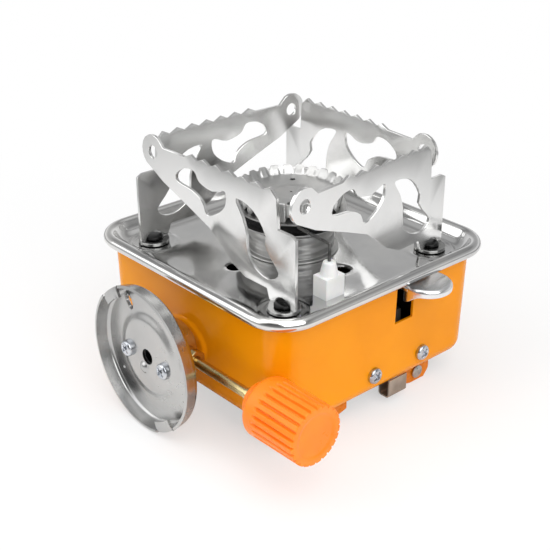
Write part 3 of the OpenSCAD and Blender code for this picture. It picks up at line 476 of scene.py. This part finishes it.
# Rows follow the table of shares at even steps, each averaged with its neighbours blur mm
# away. A groove, 1 at its middle, draws a row in and down by its shares
def makeCrown():
    table = np.array(crown["shares"])
    size = np.array([crown["radius"], crown["height"]])
    strides = np.linalg.norm(np.diff(table[:, :2] * size, axis=0), axis=1)
    length = np.concatenate([[0], np.cumsum(strides)])

    def follow(s):
        return np.stack([np.interp(s, length, table[:, k]) for k in range(4)], 1)

    at = np.linspace(0, length[-1], crown["rows"])
    row = (follow(at - crown["blur"]) + 2 * follow(at) + follow(at + crown["blur"])) / 4
    turn = fullTurn(crown["flutes"] * crown["fluteColumns"])
    groove = grooves(turn, crown["flutes"], crown["grooveHalf"], crown["grooveFlank"])
    r = crown["radius"] * (row[:, :1] - row[:, 2:3] * groove)
    z = crown["height"] * (row[:, 1:2] - row[:, 3:4] * groove)
    points = np.stack([r * np.cos(turn), r * np.sin(turn), z], -1)
    quads = gridQuads(*points.shape[:2])
    keep = np.ones(quads.shape[:2], dtype=bool)
    for degrees in crown["holeTurns"]:
        angle = math.radians(degrees)
        hole = np.array([math.cos(angle), math.sin(angle)]) * crown["holeAt"]
        roundHole(points, hole, crown["holeRadius"], crown["cell"])
        centre = quadCentres(points, quads)[..., :2]
        keep &= np.linalg.norm(centre - hole, axis=-1) > crown["holeRadius"] * crown["cutShare"]
    x, y, height = np.moveaxis(quadCentres(points, quads), -1, 0)
    port = (np.abs(np.degrees(np.arctan2(y, x)) - crown["portTurn"]) < crown["portHalf"])
    port &= (height > crown["portLow"]) & (height < crown["portHigh"])
    port &= np.hypot(x, y) > crown["radius"] * crown["portFrom"]
    points[..., 2] += crown["foot"]
    piece = addSurface("burnerCrown", points, quads[keep & ~port], "crownSteel",
                       inside=crown["inside"])
    finishSheet(piece, crown["sheet"], crown["sharp"], even=False)
    standIn(piece, "stove", "burner_cap")


screen = {"radius": 15.24, "wire": 0.15, "low": 54.4, "high": 57.6, "wires": 88, "pitch": 0.8,
          "rows": 34, "wireColumns": 8, "sheet": 0.3, "sharp": 80, "inside": (0, 0, 56)}


# Woven wire: r = radius + wire * cos(wires * angle) * cos(2 pi z / pitch)
def makeScreen():
    high = np.linspace(screen["low"], screen["high"], screen["rows"])
    points = turned(np.stack([np.full(screen["rows"], screen["radius"]), high], 1),
                    screen["wires"] * screen["wireColumns"])
    angle = np.arctan2(points[..., 1], points[..., 0])
    wave = np.cos(screen["wires"] * angle) * np.cos(points[..., 2] * 2 * math.pi / screen["pitch"])
    points[..., :2] *= 1 + screen["wire"] / screen["radius"] * wave[..., None]
    piece = addSurface("burnerScreen", points, gridQuads(*points.shape[:2]), "darkScreen",
                       inside=screen["inside"])
    finishSheet(piece, screen["sheet"], screen["sharp"])
    standIn(piece, "stove", "burner_screen")


cup = {"flange": 15.2, "flangeFlat": 0.5, "flangeIn": 0.3, "flangeRound": 0.38, "under": 0.02,
       "wall": 13.7, "sheet": 0.8, "corner": 0.3, "flareFrom": 8.0, "flareTo": 10.6,
       "flareOut": 16.2, "flarePower": 0.9, "lip": 17.8, "lipRound": 0.2, "top": 11.0,
       "throat": 14.2, "throatDeep": 1, "hole": 5.05, "ribs": [3.1, 5.7], "ribOut": 0.24,
       "ribWide": 0.8, "insideRise": 5, "columns": 180,
       "steps": {"wall": 40, "flare": 12, "edge": 6, "corner": 4}}


# Profile (r, z): flange, wall with two rolled ribs exp(-((z - rib) / wide)^2), flare and lip
def makeCup():
    steps, wallR, foot = cup["steps"], cup["wall"], cup["sheet"] + cup["corner"]
    wall = run((wallR, foot), (wallR, cup["flareFrom"]), steps["wall"])
    for rib in cup["ribs"]:
        wall[:, 0] += cup["ribOut"] * np.exp(-((wall[:, 1] - rib) / cup["ribWide"]) ** 2)
    share = np.linspace(0, 1, steps["flare"])[1:]
    flare = np.stack([wallR + (cup["flareOut"] - wallR) * ease(share) ** cup["flarePower"],
                      cup["flareFrom"] + (cup["flareTo"] - cup["flareFrom"]) * share], 1)
    mid = (cup["flareTo"] + cup["top"]) / 2
    profile = np.concatenate([
        [[cup["hole"], cup["under"]], [cup["flange"] - cup["flangeFlat"], cup["under"]]],
        arc((cup["flange"] - cup["flangeIn"], cup["sheet"] / 2), cup["flangeRound"], -90, 90,
            steps["edge"]),
        arc((wallR + cup["corner"], foot), cup["corner"], 270, 180, steps["corner"]), wall, flare,
        arc((cup["lip"] - cup["lipRound"], mid), cup["lipRound"], -90, 90, steps["edge"]),
        [[cup["throat"], cup["top"]], [cup["throat"], cup["flareTo"] - cup["throatDeep"]]]])
    profile[:, 1] += floorTop
    points = turned(profile, cup["columns"])
    piece = addSurface("burnerCup", points, gridQuads(*points.shape[:2]), "cupSteel",
                       inside=(0, 0, floorTop + cup["insideRise"]))
    finishSheet(piece)
    standIn(piece, "stove", "burner_cup")


makeCrown()
makeScreen()
makeCup()
print("burner done")


# Cartridge dish, in the valve's own axes: x right, y up, h out towards -Y

dish = {"axis": (-0.8, 23.8), "hole": 2.5, "boss": 11.0, "bossFace": 57.19, "step": 3.6,
        "floor": 55.99, "bend": (20.6, 57.29), "bendRadius": 1.3, "rim": (22.5, 60.32),
        "sheet": 0.9, "nub": (-1.9, -4.4), "nubRadius": 2.0, "nubHigh": 1.0,
        "dot": (-14.9, -10.6), "dotRadius": 0.7, "dotHigh": 0.35,
        "key": (17.5, 122), "keyHalf": (2.5, 1.35), "keyNear": 0.16, "keyLevel": 0.3,
        "keyCut": 0.98, "keyLip": 0.3, "lipFade": 5, "lipReach": 2, "lipFrom": 3,
        "tabs": (127, 300), "tabHalf": 11.6, "tabIn": 2.7, "slit": 2.1, "slitDeep": 3.0,
        "columns": 360,
        "steps": {"boss": 26, "step": 9, "floor": 22, "bend": 9, "wall": 9, "tab": 6}}


# Profile (r, h) turned about the valve's axis. Column by column the rim stops lower where
# a tab folds in, and the tab's rows are kept only there. The key is an oval hole in
# (radius, arc length), the nub rises by high * (1 - (distance / radius)^2), and the dot by
# high * ease(1 - distance / radius)
def makeDish():
    steps = dish["steps"]
    turn = fullTurn(dish["columns"])
    degrees = np.degrees(turn)[None]
    share = np.linspace(0, 1, steps["step"])[1:]
    inner = np.concatenate([
        [[dish["hole"], dish["bossFace"]]],
        run((dish["hole"], dish["bossFace"]), (dish["boss"], dish["bossFace"]), steps["boss"]),
        np.stack([dish["boss"] + dish["step"] * share,
                  dish["bossFace"] - (dish["bossFace"] - dish["floor"]) * ease(share)], 1),
        run((dish["boss"] + dish["step"], dish["floor"]), (dish["bend"][0], dish["floor"]),
            steps["floor"]),
        arc(dish["bend"], dish["bendRadius"], -90, 0, steps["bend"])[1:]])
    tabAway = np.min([np.abs((degrees - t + 180) % 360 - 180) for t in dish["tabs"]], axis=0)
    onTab = tabAway <= dish["tabHalf"]
    rimHigh = dish["rim"][1] - dish["sheet"] * onTab
    climb = np.linspace(0, 1, steps["wall"])[1:, None]
    wallFoot = (dish["bend"][0] + dish["bendRadius"], dish["bend"][1])
    wallH = wallFoot[1] + climb * (rimHigh - wallFoot[1])
    wallR = wallFoot[0] + (dish["rim"][0] - wallFoot[0]) * (wallH - wallFoot[1]) \
        / (dish["rim"][1] - wallFoot[1])
    fold = np.linspace(0, 1, steps["tab"])[1:, None]
    r = np.concatenate([inner[:, :1] + 0 * degrees, wallR, wallR[-1:] - fold * dish["tabIn"]])
    h = np.concatenate([inner[:, 1:] + 0 * degrees, wallH, wallH[-1:] + 0 * fold])
    angle = turn[None] + 0 * r
    tabRows = slice(len(r) - steps["tab"], None)
    # the key: points near the oval go onto it, and the sheet rolls back round it
    u = (r - dish["key"][0]) / dish["keyHalf"][0]
    v = r * (angle - math.radians(dish["key"][1])) / dish["keyHalf"][1]
    oval = np.hypot(u, v) + tiny
    onFloor = h < dish["floor"] + dish["keyLevel"]
    near = (np.abs(oval - 1) < dish["keyNear"]) & onFloor
    r = np.where(near, dish["key"][0] + u / oval * dish["keyHalf"][0], r)
    onOval = math.radians(dish["key"][1]) + v / oval * dish["keyHalf"][1] / r
    angle = np.where(near, onOval, angle)
    inKey = (oval < dish["keyCut"]) & onFloor
    lip = np.exp(-np.abs(oval - 1) * dish["lipFade"])
    h += dish["keyLip"] * lip * (r > dish["boss"] + dish["lipFrom"]) * (oval < dish["lipReach"])
    x, y = r * np.cos(angle), r * np.sin(angle)
    nub = np.hypot(x - dish["nub"][0], y - dish["nub"][1])
    dot = np.hypot(x - dish["dot"][0], y - dish["dot"][1])
    h += dish["nubHigh"] * np.maximum(1 - (nub / dish["nubRadius"]) ** 2, 0)
    h += dish["dotHigh"] * ease((dish["dotRadius"] - dot) / dish["dotRadius"])
    points = np.stack([x + dish["axis"][0], -h, y + dish["axis"][1]], -1)
    quads = gridQuads(*points.shape[:2])

    # how many of each quad's corners the mask holds
    def corners(mask):
        return mask.reshape(-1)[quads].sum(-1)

    keep = corners(inKey) < 2
    keep[tabRows] &= corners(np.broadcast_to(onTab, r.shape))[tabRows] == 4
    slit = (tabAway > dish["tabHalf"]) & (tabAway <= dish["tabHalf"] + dish["slit"])
    deep = (h > dish["rim"][1] - dish["slitDeep"]) & slit
    keep &= corners(deep) < 3
    piece = addSurface("gasDish", points, quads[keep], "dishSteel", facing=(0, -1, 0))
    finishSheet(piece, dish["sheet"], even=False)
    standIn(piece, "stove", "gas_dish")


makeDish()
print("dish done")


# Knob, its axis along +X

knob = {"foot": 38.7, "axis": (-47.992, 23.8), "collar": 5.6, "collarLong": 3.3,
        "collarFlat": 0.4, "collarRound": 0.3, "shoulder": (7.2, 5.3), "shoulderRadius": 2.0,
        "shoulderFrom": -60, "radius": 9.2, "endRadius": 9.0, "long": 24.3, "edge": 0.35,
        "face": 6.6, "faceDrop": 0.3, "faceSlope": 0.3, "bore": 1.66, "ribs": 24,
        "grooveDeep": 0.95, "grooveHalf": 0.04, "grooveFlank": 0.22, "grooveFrom": 8.0,
        "grooveStart": 1.1, "ribColumns": 20, "sharp": 48, "insideAt": 12,
        "steps": {"round": 4, "collar": 5, "shoulder": 9, "side": 40, "edge": 8, "ring": 3,
                  "face": 8}}


# Profile (r, h) turned about the spindle. Between ribs the radius is at most
# radius - deep * groove, and the grooves start with a soft end
def makeKnob():
    steps, end, long = knob["steps"], knob["endRadius"], knob["long"]
    collar, e = knob["collar"], knob["collarRound"]
    outer, inner = knob["face"] + knob["faceSlope"], knob["face"] - knob["faceSlope"]
    sunk = long - knob["faceDrop"]
    profile = np.concatenate([
        [[knob["bore"], 0], [collar - knob["collarFlat"], 0]],
        arc((collar - e, e), e, -90, 0, steps["round"]),
        run((collar, e), (collar, knob["collarLong"] - e), steps["collar"]),
        arc((collar + e, knob["collarLong"] - e), e, 180, 90, steps["round"]),
        arc(knob["shoulder"], knob["shoulderRadius"], knob["shoulderFrom"], 0, steps["shoulder"]),
        run((knob["radius"], knob["shoulder"][1]), (end, long - knob["edge"]), steps["side"]),
        arc((end - knob["edge"], long - knob["edge"]), knob["edge"], 0, 90, steps["edge"])[1:],
        run((end - knob["edge"], long), (outer, long), steps["ring"]),
        run((outer, long), (inner, sunk), steps["round"]),
        run((inner, sunk), (0, sunk), steps["face"])])
    turn = fullTurn(knob["ribs"] * knob["ribColumns"])
    groove = grooves(turn, knob["ribs"], knob["grooveHalf"], knob["grooveFlank"])
    start = ease((profile[:, 1:] - knob["grooveFrom"]) / knob["grooveStart"])
    r = np.minimum(profile[:, :1], knob["radius"] - knob["grooveDeep"] * groove * start)
    h = profile[:, 1:] + 0 * turn
    points = np.stack([knob["foot"] + h, knob["axis"][0] + r * np.sin(turn),
                       knob["axis"][1] - r * np.cos(turn)], -1)
    piece = addSurface("ribbedKnob", points, gridQuads(*points.shape[:2]), "knobPlastic",
                       inside=(knob["foot"] + knob["insideAt"], *knob["axis"]))
    finishSheet(piece, 0, knob["sharp"])
    standIn(piece, "gas_knob", "knob")


makeKnob()
print("knob done")


# Thumb tab of the igniter

tab = {"centre": (45.3, 14.4), "radius": 7.8, "low": 33.0, "thick": 2.5, "topRound": 1.15,
       "lowRound": 0.4, "wall": 42.6, "hollow": 0.2, "wedge": 3.2, "wedgeRun": 6.5,
       "topFrom": 2.49, "insideRise": 1, "columns": 180, "sharp": 50,
       "steps": {"top": 12, "topRound": 10, "low": 8}}
neck = {"x": (32.3, 44.5), "y": (6.6, 16.6), "z": (33.6, 34.9), "round": 0.35,
        "stations": (0, 0, 0.3, 1, 1), "widths": (0, 0.97, 1, 1, 0), "insideX": 38,
        "roundSteps": 5, "sharp": 40}


# Profile (r, z) of a rounded disc, turned about the tab's centre, its top sunk by
# hollow * (1 - (r / radius)^2), and held back at the box's wall, where its lower side is
# wedge * (1 - ease(x / run)) deeper
def makeTab():
    steps, radius, thick = tab["steps"], tab["radius"], tab["thick"]
    topFlat, e = radius - tab["topRound"], tab["lowRound"]
    profile = np.concatenate([
        [[0, thick]], run((0, thick), (topFlat, thick), steps["top"]),
        arc((topFlat, thick - tab["topRound"]), tab["topRound"], 90, 0, steps["topRound"])[1:],
        arc((radius - e, e), e, 0, -90, steps["low"]),
        run((radius - e, 0), (0, 0), steps["low"])])
    top = profile[:, 1] > tab["topFrom"]
    profile[:, 1] -= top * tab["hollow"] * (1 - (profile[:, 0] / topFlat) ** 2)
    points = turned(profile, tab["columns"])
    points[..., 0] = np.maximum(points[..., 0] + tab["centre"][0], tab["wall"])
    points[..., 1] += tab["centre"][1]
    nearWall = 1 - ease((points[..., 0] - tab["wall"]) / tab["wedgeRun"])
    points[..., 2] -= tab["wedge"] * nearWall * (points[..., 2] < thick / 2)
    points[..., 2] += tab["low"] + lift
    piece = addSurface("thumbTab", points, gridQuads(*points.shape[:2]), "chrome",
                       inside=(*tab["centre"], tab["low"] + lift + tab["insideRise"]))
    finishSheet(piece, 0, tab["sharp"])
    standIn(piece, "igniter", "igniter_lever")


# Rounded bar along x: its section is a rectangle of arcs, swept from the slot to the tab
def makeNeck():
    (y0, y1), (z0, z1), e = neck["y"], neck["z"], neck["round"]
    corners = [(y1 - e, z1 - e), (y0 + e, z1 - e), (y0 + e, z0 + e), (y1 - e, z0 + e)]
    section = np.concatenate([arc(corner, e, 90 * k, 90 * k + 90, neck["roundSteps"])
                              for k, corner in enumerate(corners)])
    middle = section.mean(0)
    x = np.array(neck["stations"])[:, None] * (neck["x"][1] - neck["x"][0]) + neck["x"][0]
    spread = middle + (section - middle)[None] * np.array(neck["widths"])[:, None, None]
    points = np.concatenate([np.broadcast_to(x[..., None], (*spread.shape[:2], 1)), spread], -1)
    points[..., 2] += lift
    piece = addSurface("tabNeck", points, gridQuads(*points.shape[:2]), "chrome",
                       inside=(neck["insideX"], middle[0], middle[1] + lift))
    finishSheet(piece, 0, neck["sharp"])
    standIn(piece, "igniter", "igniter_lever")


makeTab()
makeNeck()
print("thumb tab done")


# Pan head screws and the piezo's bracket

screws = {"radius": 2.6, "high": 1.75, "edge": 0.8, "dome": 0.3, "crossHalf": (0.42, 1.55),
          "crossDeep": 0.95, "soft": 0.22, "columns": 112, "sharp": 42,
          "steps": {"face": 24, "edge": 8, "side": 2},
          "sides": [(side * 41.62, y, 7.6 + lift) for side in (-1, 1) for y in (-3.4, 18.1)],
          "dish": [(-10.4, -57.19, 22.9), (7.6, -57.19, 22.7)]}


# Head of height high - dome * (r / radius)^2 with a rolled edge, from which the cross sinks by
# deep * ease((w - |u|) / soft + 1/2) * ease((l - |v|) / soft + 1/2), or the same with u and v
# swapped, which run at 45 degrees to x and y
def screwHeads(name, places, axis, node):
    radius, high, edge, steps = screws["radius"], screws["high"], screws["edge"], screws["steps"]
    profile = np.concatenate([
        run((0, high), (radius - edge, high), steps["face"]),
        arc((radius - edge, high - edge), edge, 90, 0, steps["edge"])[1:],
        run((radius, high - edge), (radius, 0), steps["side"])])
    profile[:, 1] -= screws["dome"] * (profile[:, 0] / radius) ** 2 * (profile[:, 1] > 0)
    head = turned(profile, screws["columns"])
    u = np.abs(head[..., 0] + head[..., 1]) / 2 ** 0.5
    v = np.abs(head[..., 0] - head[..., 1]) / 2 ** 0.5
    w, l = screws["crossHalf"]

    def groove(p, q):
        return ease((w - p) / screws["soft"] + 0.5) * ease((l - q) / screws["soft"] + 0.5)

    head[..., 2] -= screws["crossDeep"] * np.maximum(groove(u, v), groove(v, u))
    quads = gridQuads(*head.shape[:2])
    for k, place in enumerate(places):
        outwards = head[..., 2] * np.sign(place[axis])
        points = np.insert(head[..., :2], axis, outwards, axis=-1) + np.array(place)
        piece = addSurface(f"{name}{k + 1}", points, quads, "screwSteel", inside=place)
        finishSheet(piece, 0, screws["sharp"])
        standIn(piece, "stove", node)


screwHeads("sideScrew", screws["sides"], 0, "side_screws")
screwHeads("dishScrew", screws["dish"], 1, "dish_screws")

bracket = {"sheet": 0.5, "y": (4.6, 12.6), "back": 36.62, "low": -4.7,
           "front": 41.05, "top": 1.7, "round": 1.1, "backTop": 23.2, "columns": 13,
           "steps": {"front": 8, "round": 8, "low": 4, "back": 20}}


# Path (x, z) of the bent strip, carried along y
def makeBracket():
    r, low, front, back = bracket["round"], bracket["low"], bracket["front"], bracket["back"]
    steps = bracket["steps"]
    path = np.concatenate([
        [[front, bracket["top"]]], run((front, bracket["top"]), (front, low + r), steps["front"]),
        arc((front - r, low + r), r, 0, -90, steps["round"])[1:],
        run((front - r, low), (back + r, low), steps["low"]),
        arc((back + r, low + r), r, 270, 180, steps["round"])[1:],
        run((back, low + r), (back, bracket["backTop"]), steps["back"])])
    across = np.linspace(*bracket["y"], bracket["columns"])
    shape = (len(path), len(across))
    points = np.stack([np.broadcast_to(path[:, :1], shape), np.broadcast_to(across, shape),
                       np.broadcast_to(path[:, 1:] + lift, shape)], -1)
    piece = addSurface("piezoStrap", points, gridQuads(*shape)[:, :-1], "bracketSteel",
                       inside=((front + back) / 2, across.mean(), lift))
    finishSheet(piece, bracket["sheet"])
    standIn(piece, "stove", "piezo_bracket")


makeBracket()
print("screws and bracket done")


# The CAD's own pieces: finish and edge width in mm

dressing = {
    "base_plate": ("zincPlate", 0.08),
    # the legs take the darker, painted-shade copy of the enamel
    "leg_a": ("shadedLegEnamel", 0.18), "leg_b": ("shadedLegEnamel", 0.18),
    "leg_c": ("shadedLegEnamel", 0.18), "leg_d": ("shadedLegEnamel", 0.18), "leg_rivets": ("rivetSteel", 0.1),
    "pot_support_a": ("supportSheet", 0.12), "pot_support_b": ("supportSheet", 0.12),
    "pot_support_c": ("supportSheet", 0.12), "pot_support_d": ("supportSheet", 0.12),
    "support_rivets": ("blackRivet", 0.1), "flame_plate": ("cupSteel", 0.06),
    "burner_nut": ("zincPlate", 0.2), "mixing_tube": ("zincPlate", 0.1), "jet": ("brass", 0.06),
    "valve_body": ("chromate", 0.25), "valve_union": ("chromate", 0.3),
    "spindle_gland": ("chromate", 0.15), "valve_spindle": ("chromate", 0.1),
    "knob_ferrule": ("chromate", 0.15),
    "inlet_nozzle": ("blackRivet", 0.06), "inlet_seal": ("rubber", 0.06),
    "piezo_plunger": ("greyPlastic", 0.3), "piezo_housing": ("blackPlastic", 0.15),
    "insulator": ("ceramic", 1.3),
    "electrode": ("wireSteel", 0),
}
# an edge wider than wideEdge mm is rounded in more steps
edges = {"wideEdge": 0.5, "wideSteps": 3, "roundFrom": 48, "sharp": 32}


def dressNode(name, look, edge):
    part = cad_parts[name]
    for place in part.material_slots:
        place.material = materials[look]
    if not part.material_slots:
        part.data.materials.append(materials[look])
    part.data.polygons.foreach_set("use_smooth", np.ones(len(part.data.polygons), dtype=bool))
    weldPoints(part, weldReach["node"])
    if edge:
        bevel = part.modifiers.new("edge", "BEVEL")
        bevel.width = edge * mm
        bevel.segments = edges["wideSteps"] if edge > edges["wideEdge"] else 1
        bevel.limit_method = "ANGLE"
        bevel.angle_limit = math.radians(edges["roundFrom"])
    partShading(part, edges["sharp"])


for name, (look, edge) in dressing.items():
    dressNode(name, look, edge)
print("nodes dressed:", len(dressing))


# Studio: pale floor, white air, three soft lamps and the camera

studio = {"floorHalf": 3000, "floorLow": -0.02, "floorWhite": 0.97, "floorGlow": 0.55,
          "air": 0.36, "shadowSpan": (60, 240),
          # turn, height angle and distance from the stove, size of the lamp, level of light
          "lamps": {"key": (76, 40, 900, 820, 0.66), "fill": (-30, 34, 1000, 850, 0.38),
                    "top": (20, 82, 800, 760, 0.34)}, "lampAim": (0, -5, 35),
          # what a reflection sees of the air, by the height of its ray, and how much of that
          # is left towards the camera's side
          "airBands": [(0, 1), (0.25, 0.84), (0.4, 0.55), (0.52, 0.5), (0.66, 0.32), (0.8, 0.55),
                       (0.9, 0.72)], "cameraSide": 0.25, "sideSpan": (-0.2, 0.7),
          "mirrorFloor": 0.45, "mirrorSpan": (150, 360),
          "view": {"azimuth": 48.41, "elevation": 26.43, "distance": 355.26,
                   "target": (3.85, -10.24, 37.4), "lens": 73.6, "sensor": 36, "clip": 0.01}}


def viewRay(azimuth, elevation):
    a, e = math.radians(azimuth), math.radians(elevation)
    return Vector((math.sin(a) * math.cos(e), -math.cos(a) * math.cos(e), math.sin(e)))


def makeFloor():
    half, low = studio["floorHalf"] * mm, studio["floorLow"] * mm
    mesh = bpy.data.meshes.new("paleFloor")
    mesh.from_pydata([(-half, -half, low), (half, -half, low), (half, half, low),
                      (-half, half, low)], [], [(0, 1, 2, 3)])
    material = bpy.data.materials.new("paleFloor")
    material.use_nodes = True
    nodes, links = material.node_tree.nodes, material.node_tree.links
    nodes.remove(nodes["Principled BSDF"])
    paint = nodes.new("ShaderNodeBsdfDiffuse")
    glow = nodes.new("ShaderNodeEmission")
    seen = nodes.new("ShaderNodeLightPath")
    # the glow, seen by the camera alone, grows from floorGlow near the stove to all of it
    spot = nodes.new("ShaderNodeTexCoord")
    away = nodes.new("ShaderNodeVectorMath")
    away.operation = "LENGTH"
    links.new(spot.outputs["Object"], away.inputs[0])
    fade = mapRange(nodes, [reach * mm for reach in studio["shadowSpan"]],
                    (studio["floorGlow"], 1), smooth=True)
    links.new(away.outputs["Value"], fade.inputs["Value"])
    # a reflection sees the floor sink to mirrorFloor further out
    sink = mapRange(nodes, [reach * mm for reach in studio["mirrorSpan"]],
                    (studio["floorWhite"], studio["mirrorFloor"]), smooth=True)
    links.new(away.outputs["Value"], sink.inputs["Value"])
    white = nodes.new("ShaderNodeMix")
    white.inputs[mixNumber["a"]].default_value = studio["floorWhite"]
    links.new(seen.outputs["Is Glossy Ray"], white.inputs[0])
    links.new(sink.outputs[0], white.inputs[mixNumber["b"]])
    links.new(white.outputs[mixNumber["out"]], paint.inputs["Color"])
    part = nodes.new("ShaderNodeMath")
    part.operation = "MULTIPLY"
    links.new(seen.outputs["Is Camera Ray"], part.inputs[0])
    links.new(fade.outputs[0], part.inputs[1])
    mix = nodes.new("ShaderNodeMixShader")
    links.new(part.outputs[0], mix.inputs[0])
    links.new(paint.outputs[0], mix.inputs[1])
    links.new(glow.outputs[0], mix.inputs[2])
    links.new(mix.outputs[0], nodes["Material Output"].inputs["Surface"])
    mesh.materials.append(material)
    floor = bpy.data.objects.new("paleFloor", mesh)
    scene.collection.objects.link(floor)


# White where the camera or a refraction looks, banded by height where a reflection does, and
# a softer level as light
def makeAir():
    world = bpy.data.worlds.new("studioAir")
    scene.world = world
    world.use_nodes = True
    nodes, links = world.node_tree.nodes, world.node_tree.links
    seen = nodes.new("ShaderNodeLightPath")
    spot = nodes.new("ShaderNodeTexCoord")
    height = nodes.new("ShaderNodeSeparateXYZ")
    links.new(spot.outputs["Generated"], height.inputs[0])
    bands = nodes.new("ShaderNodeValToRGB")
    bands.color_ramp.interpolation = "EASE"
    stops = bands.color_ramp.elements
    while len(stops) < len(studio["airBands"]):
        stops.new(0.5)
    for stop, (place, level) in zip(stops, studio["airBands"]):
        stop.position = place
        stop.color = (level, level, level, 1)
    links.new(height.outputs["Z"], bands.inputs[0])
    ahead = nodes.new("ShaderNodeVectorMath")
    ahead.operation = "DOT_PRODUCT"
    ahead.inputs[1].default_value = viewRay(studio["view"]["azimuth"], 0)
    links.new(spot.outputs["Generated"], ahead.inputs[0])
    side = mapRange(nodes, studio["sideSpan"], (1, studio["cameraSide"]), smooth=True)
    links.new(ahead.outputs["Value"], side.inputs["Value"])
    graded = nodes.new("ShaderNodeMath")
    graded.operation = "MULTIPLY"
    links.new(bands.outputs[0], graded.inputs[0])
    links.new(side.outputs[0], graded.inputs[1])
    mirrored, direct = nodes.new("ShaderNodeMix"), nodes.new("ShaderNodeMix")
    mirrored.inputs[mixNumber["a"]].default_value = studio["air"]
    links.new(seen.outputs["Is Glossy Ray"], mirrored.inputs[0])
    links.new(graded.outputs[0], mirrored.inputs[mixNumber["b"]])
    through = nodes.new("ShaderNodeMath")
    through.operation = "MAXIMUM"
    links.new(seen.outputs["Is Camera Ray"], through.inputs[0])
    links.new(seen.outputs["Is Transmission Ray"], through.inputs[1])
    direct.inputs[mixNumber["b"]].default_value = 1
    links.new(through.outputs[0], direct.inputs[0])
    links.new(mirrored.outputs[mixNumber["out"]], direct.inputs[mixNumber["a"]])
    air = nodes["Background"]
    air.inputs["Color"].default_value = (1, 1, 1, 1)
    links.new(direct.outputs[mixNumber["out"]], air.inputs["Strength"])


# A lamp of power P at distance d lights a white wall that faces it to P / (pi d)^2
def makeLamps():
    middle = Vector(studio["lampAim"]) * mm
    for name, (azimuth, elevation, distance, size, level) in studio["lamps"].items():
        ray = viewRay(azimuth, elevation)
        lamp = bpy.data.lights.new(name, "AREA")
        lamp.size = size * mm
        lamp.energy = level * (math.pi * distance * mm) ** 2
        place = bpy.data.objects.new(name, lamp)
        place.location = middle + ray * distance * mm
        place.rotation_euler = ray.to_track_quat("Z", "Y").to_euler()
        scene.collection.objects.link(place)


def makeCamera():
    view = studio["view"]
    ray = viewRay(view["azimuth"], view["elevation"])
    camera = bpy.data.objects.new("camera", bpy.data.cameras.new("camera"))
    camera.data.sensor_width = view["sensor"]
    camera.data.lens = view["lens"]
    camera.data.clip_start = view["clip"]
    camera.location = (Vector(view["target"]) + ray * view["distance"]) * mm
    camera.rotation_euler = ray.to_track_quat("Z", "Y").to_euler()
    scene.collection.objects.link(camera)
    scene.camera = camera


makeFloor()
makeAir()
makeLamps()
makeCamera()
scene.view_settings.view_transform = "Standard"
print("studio done")
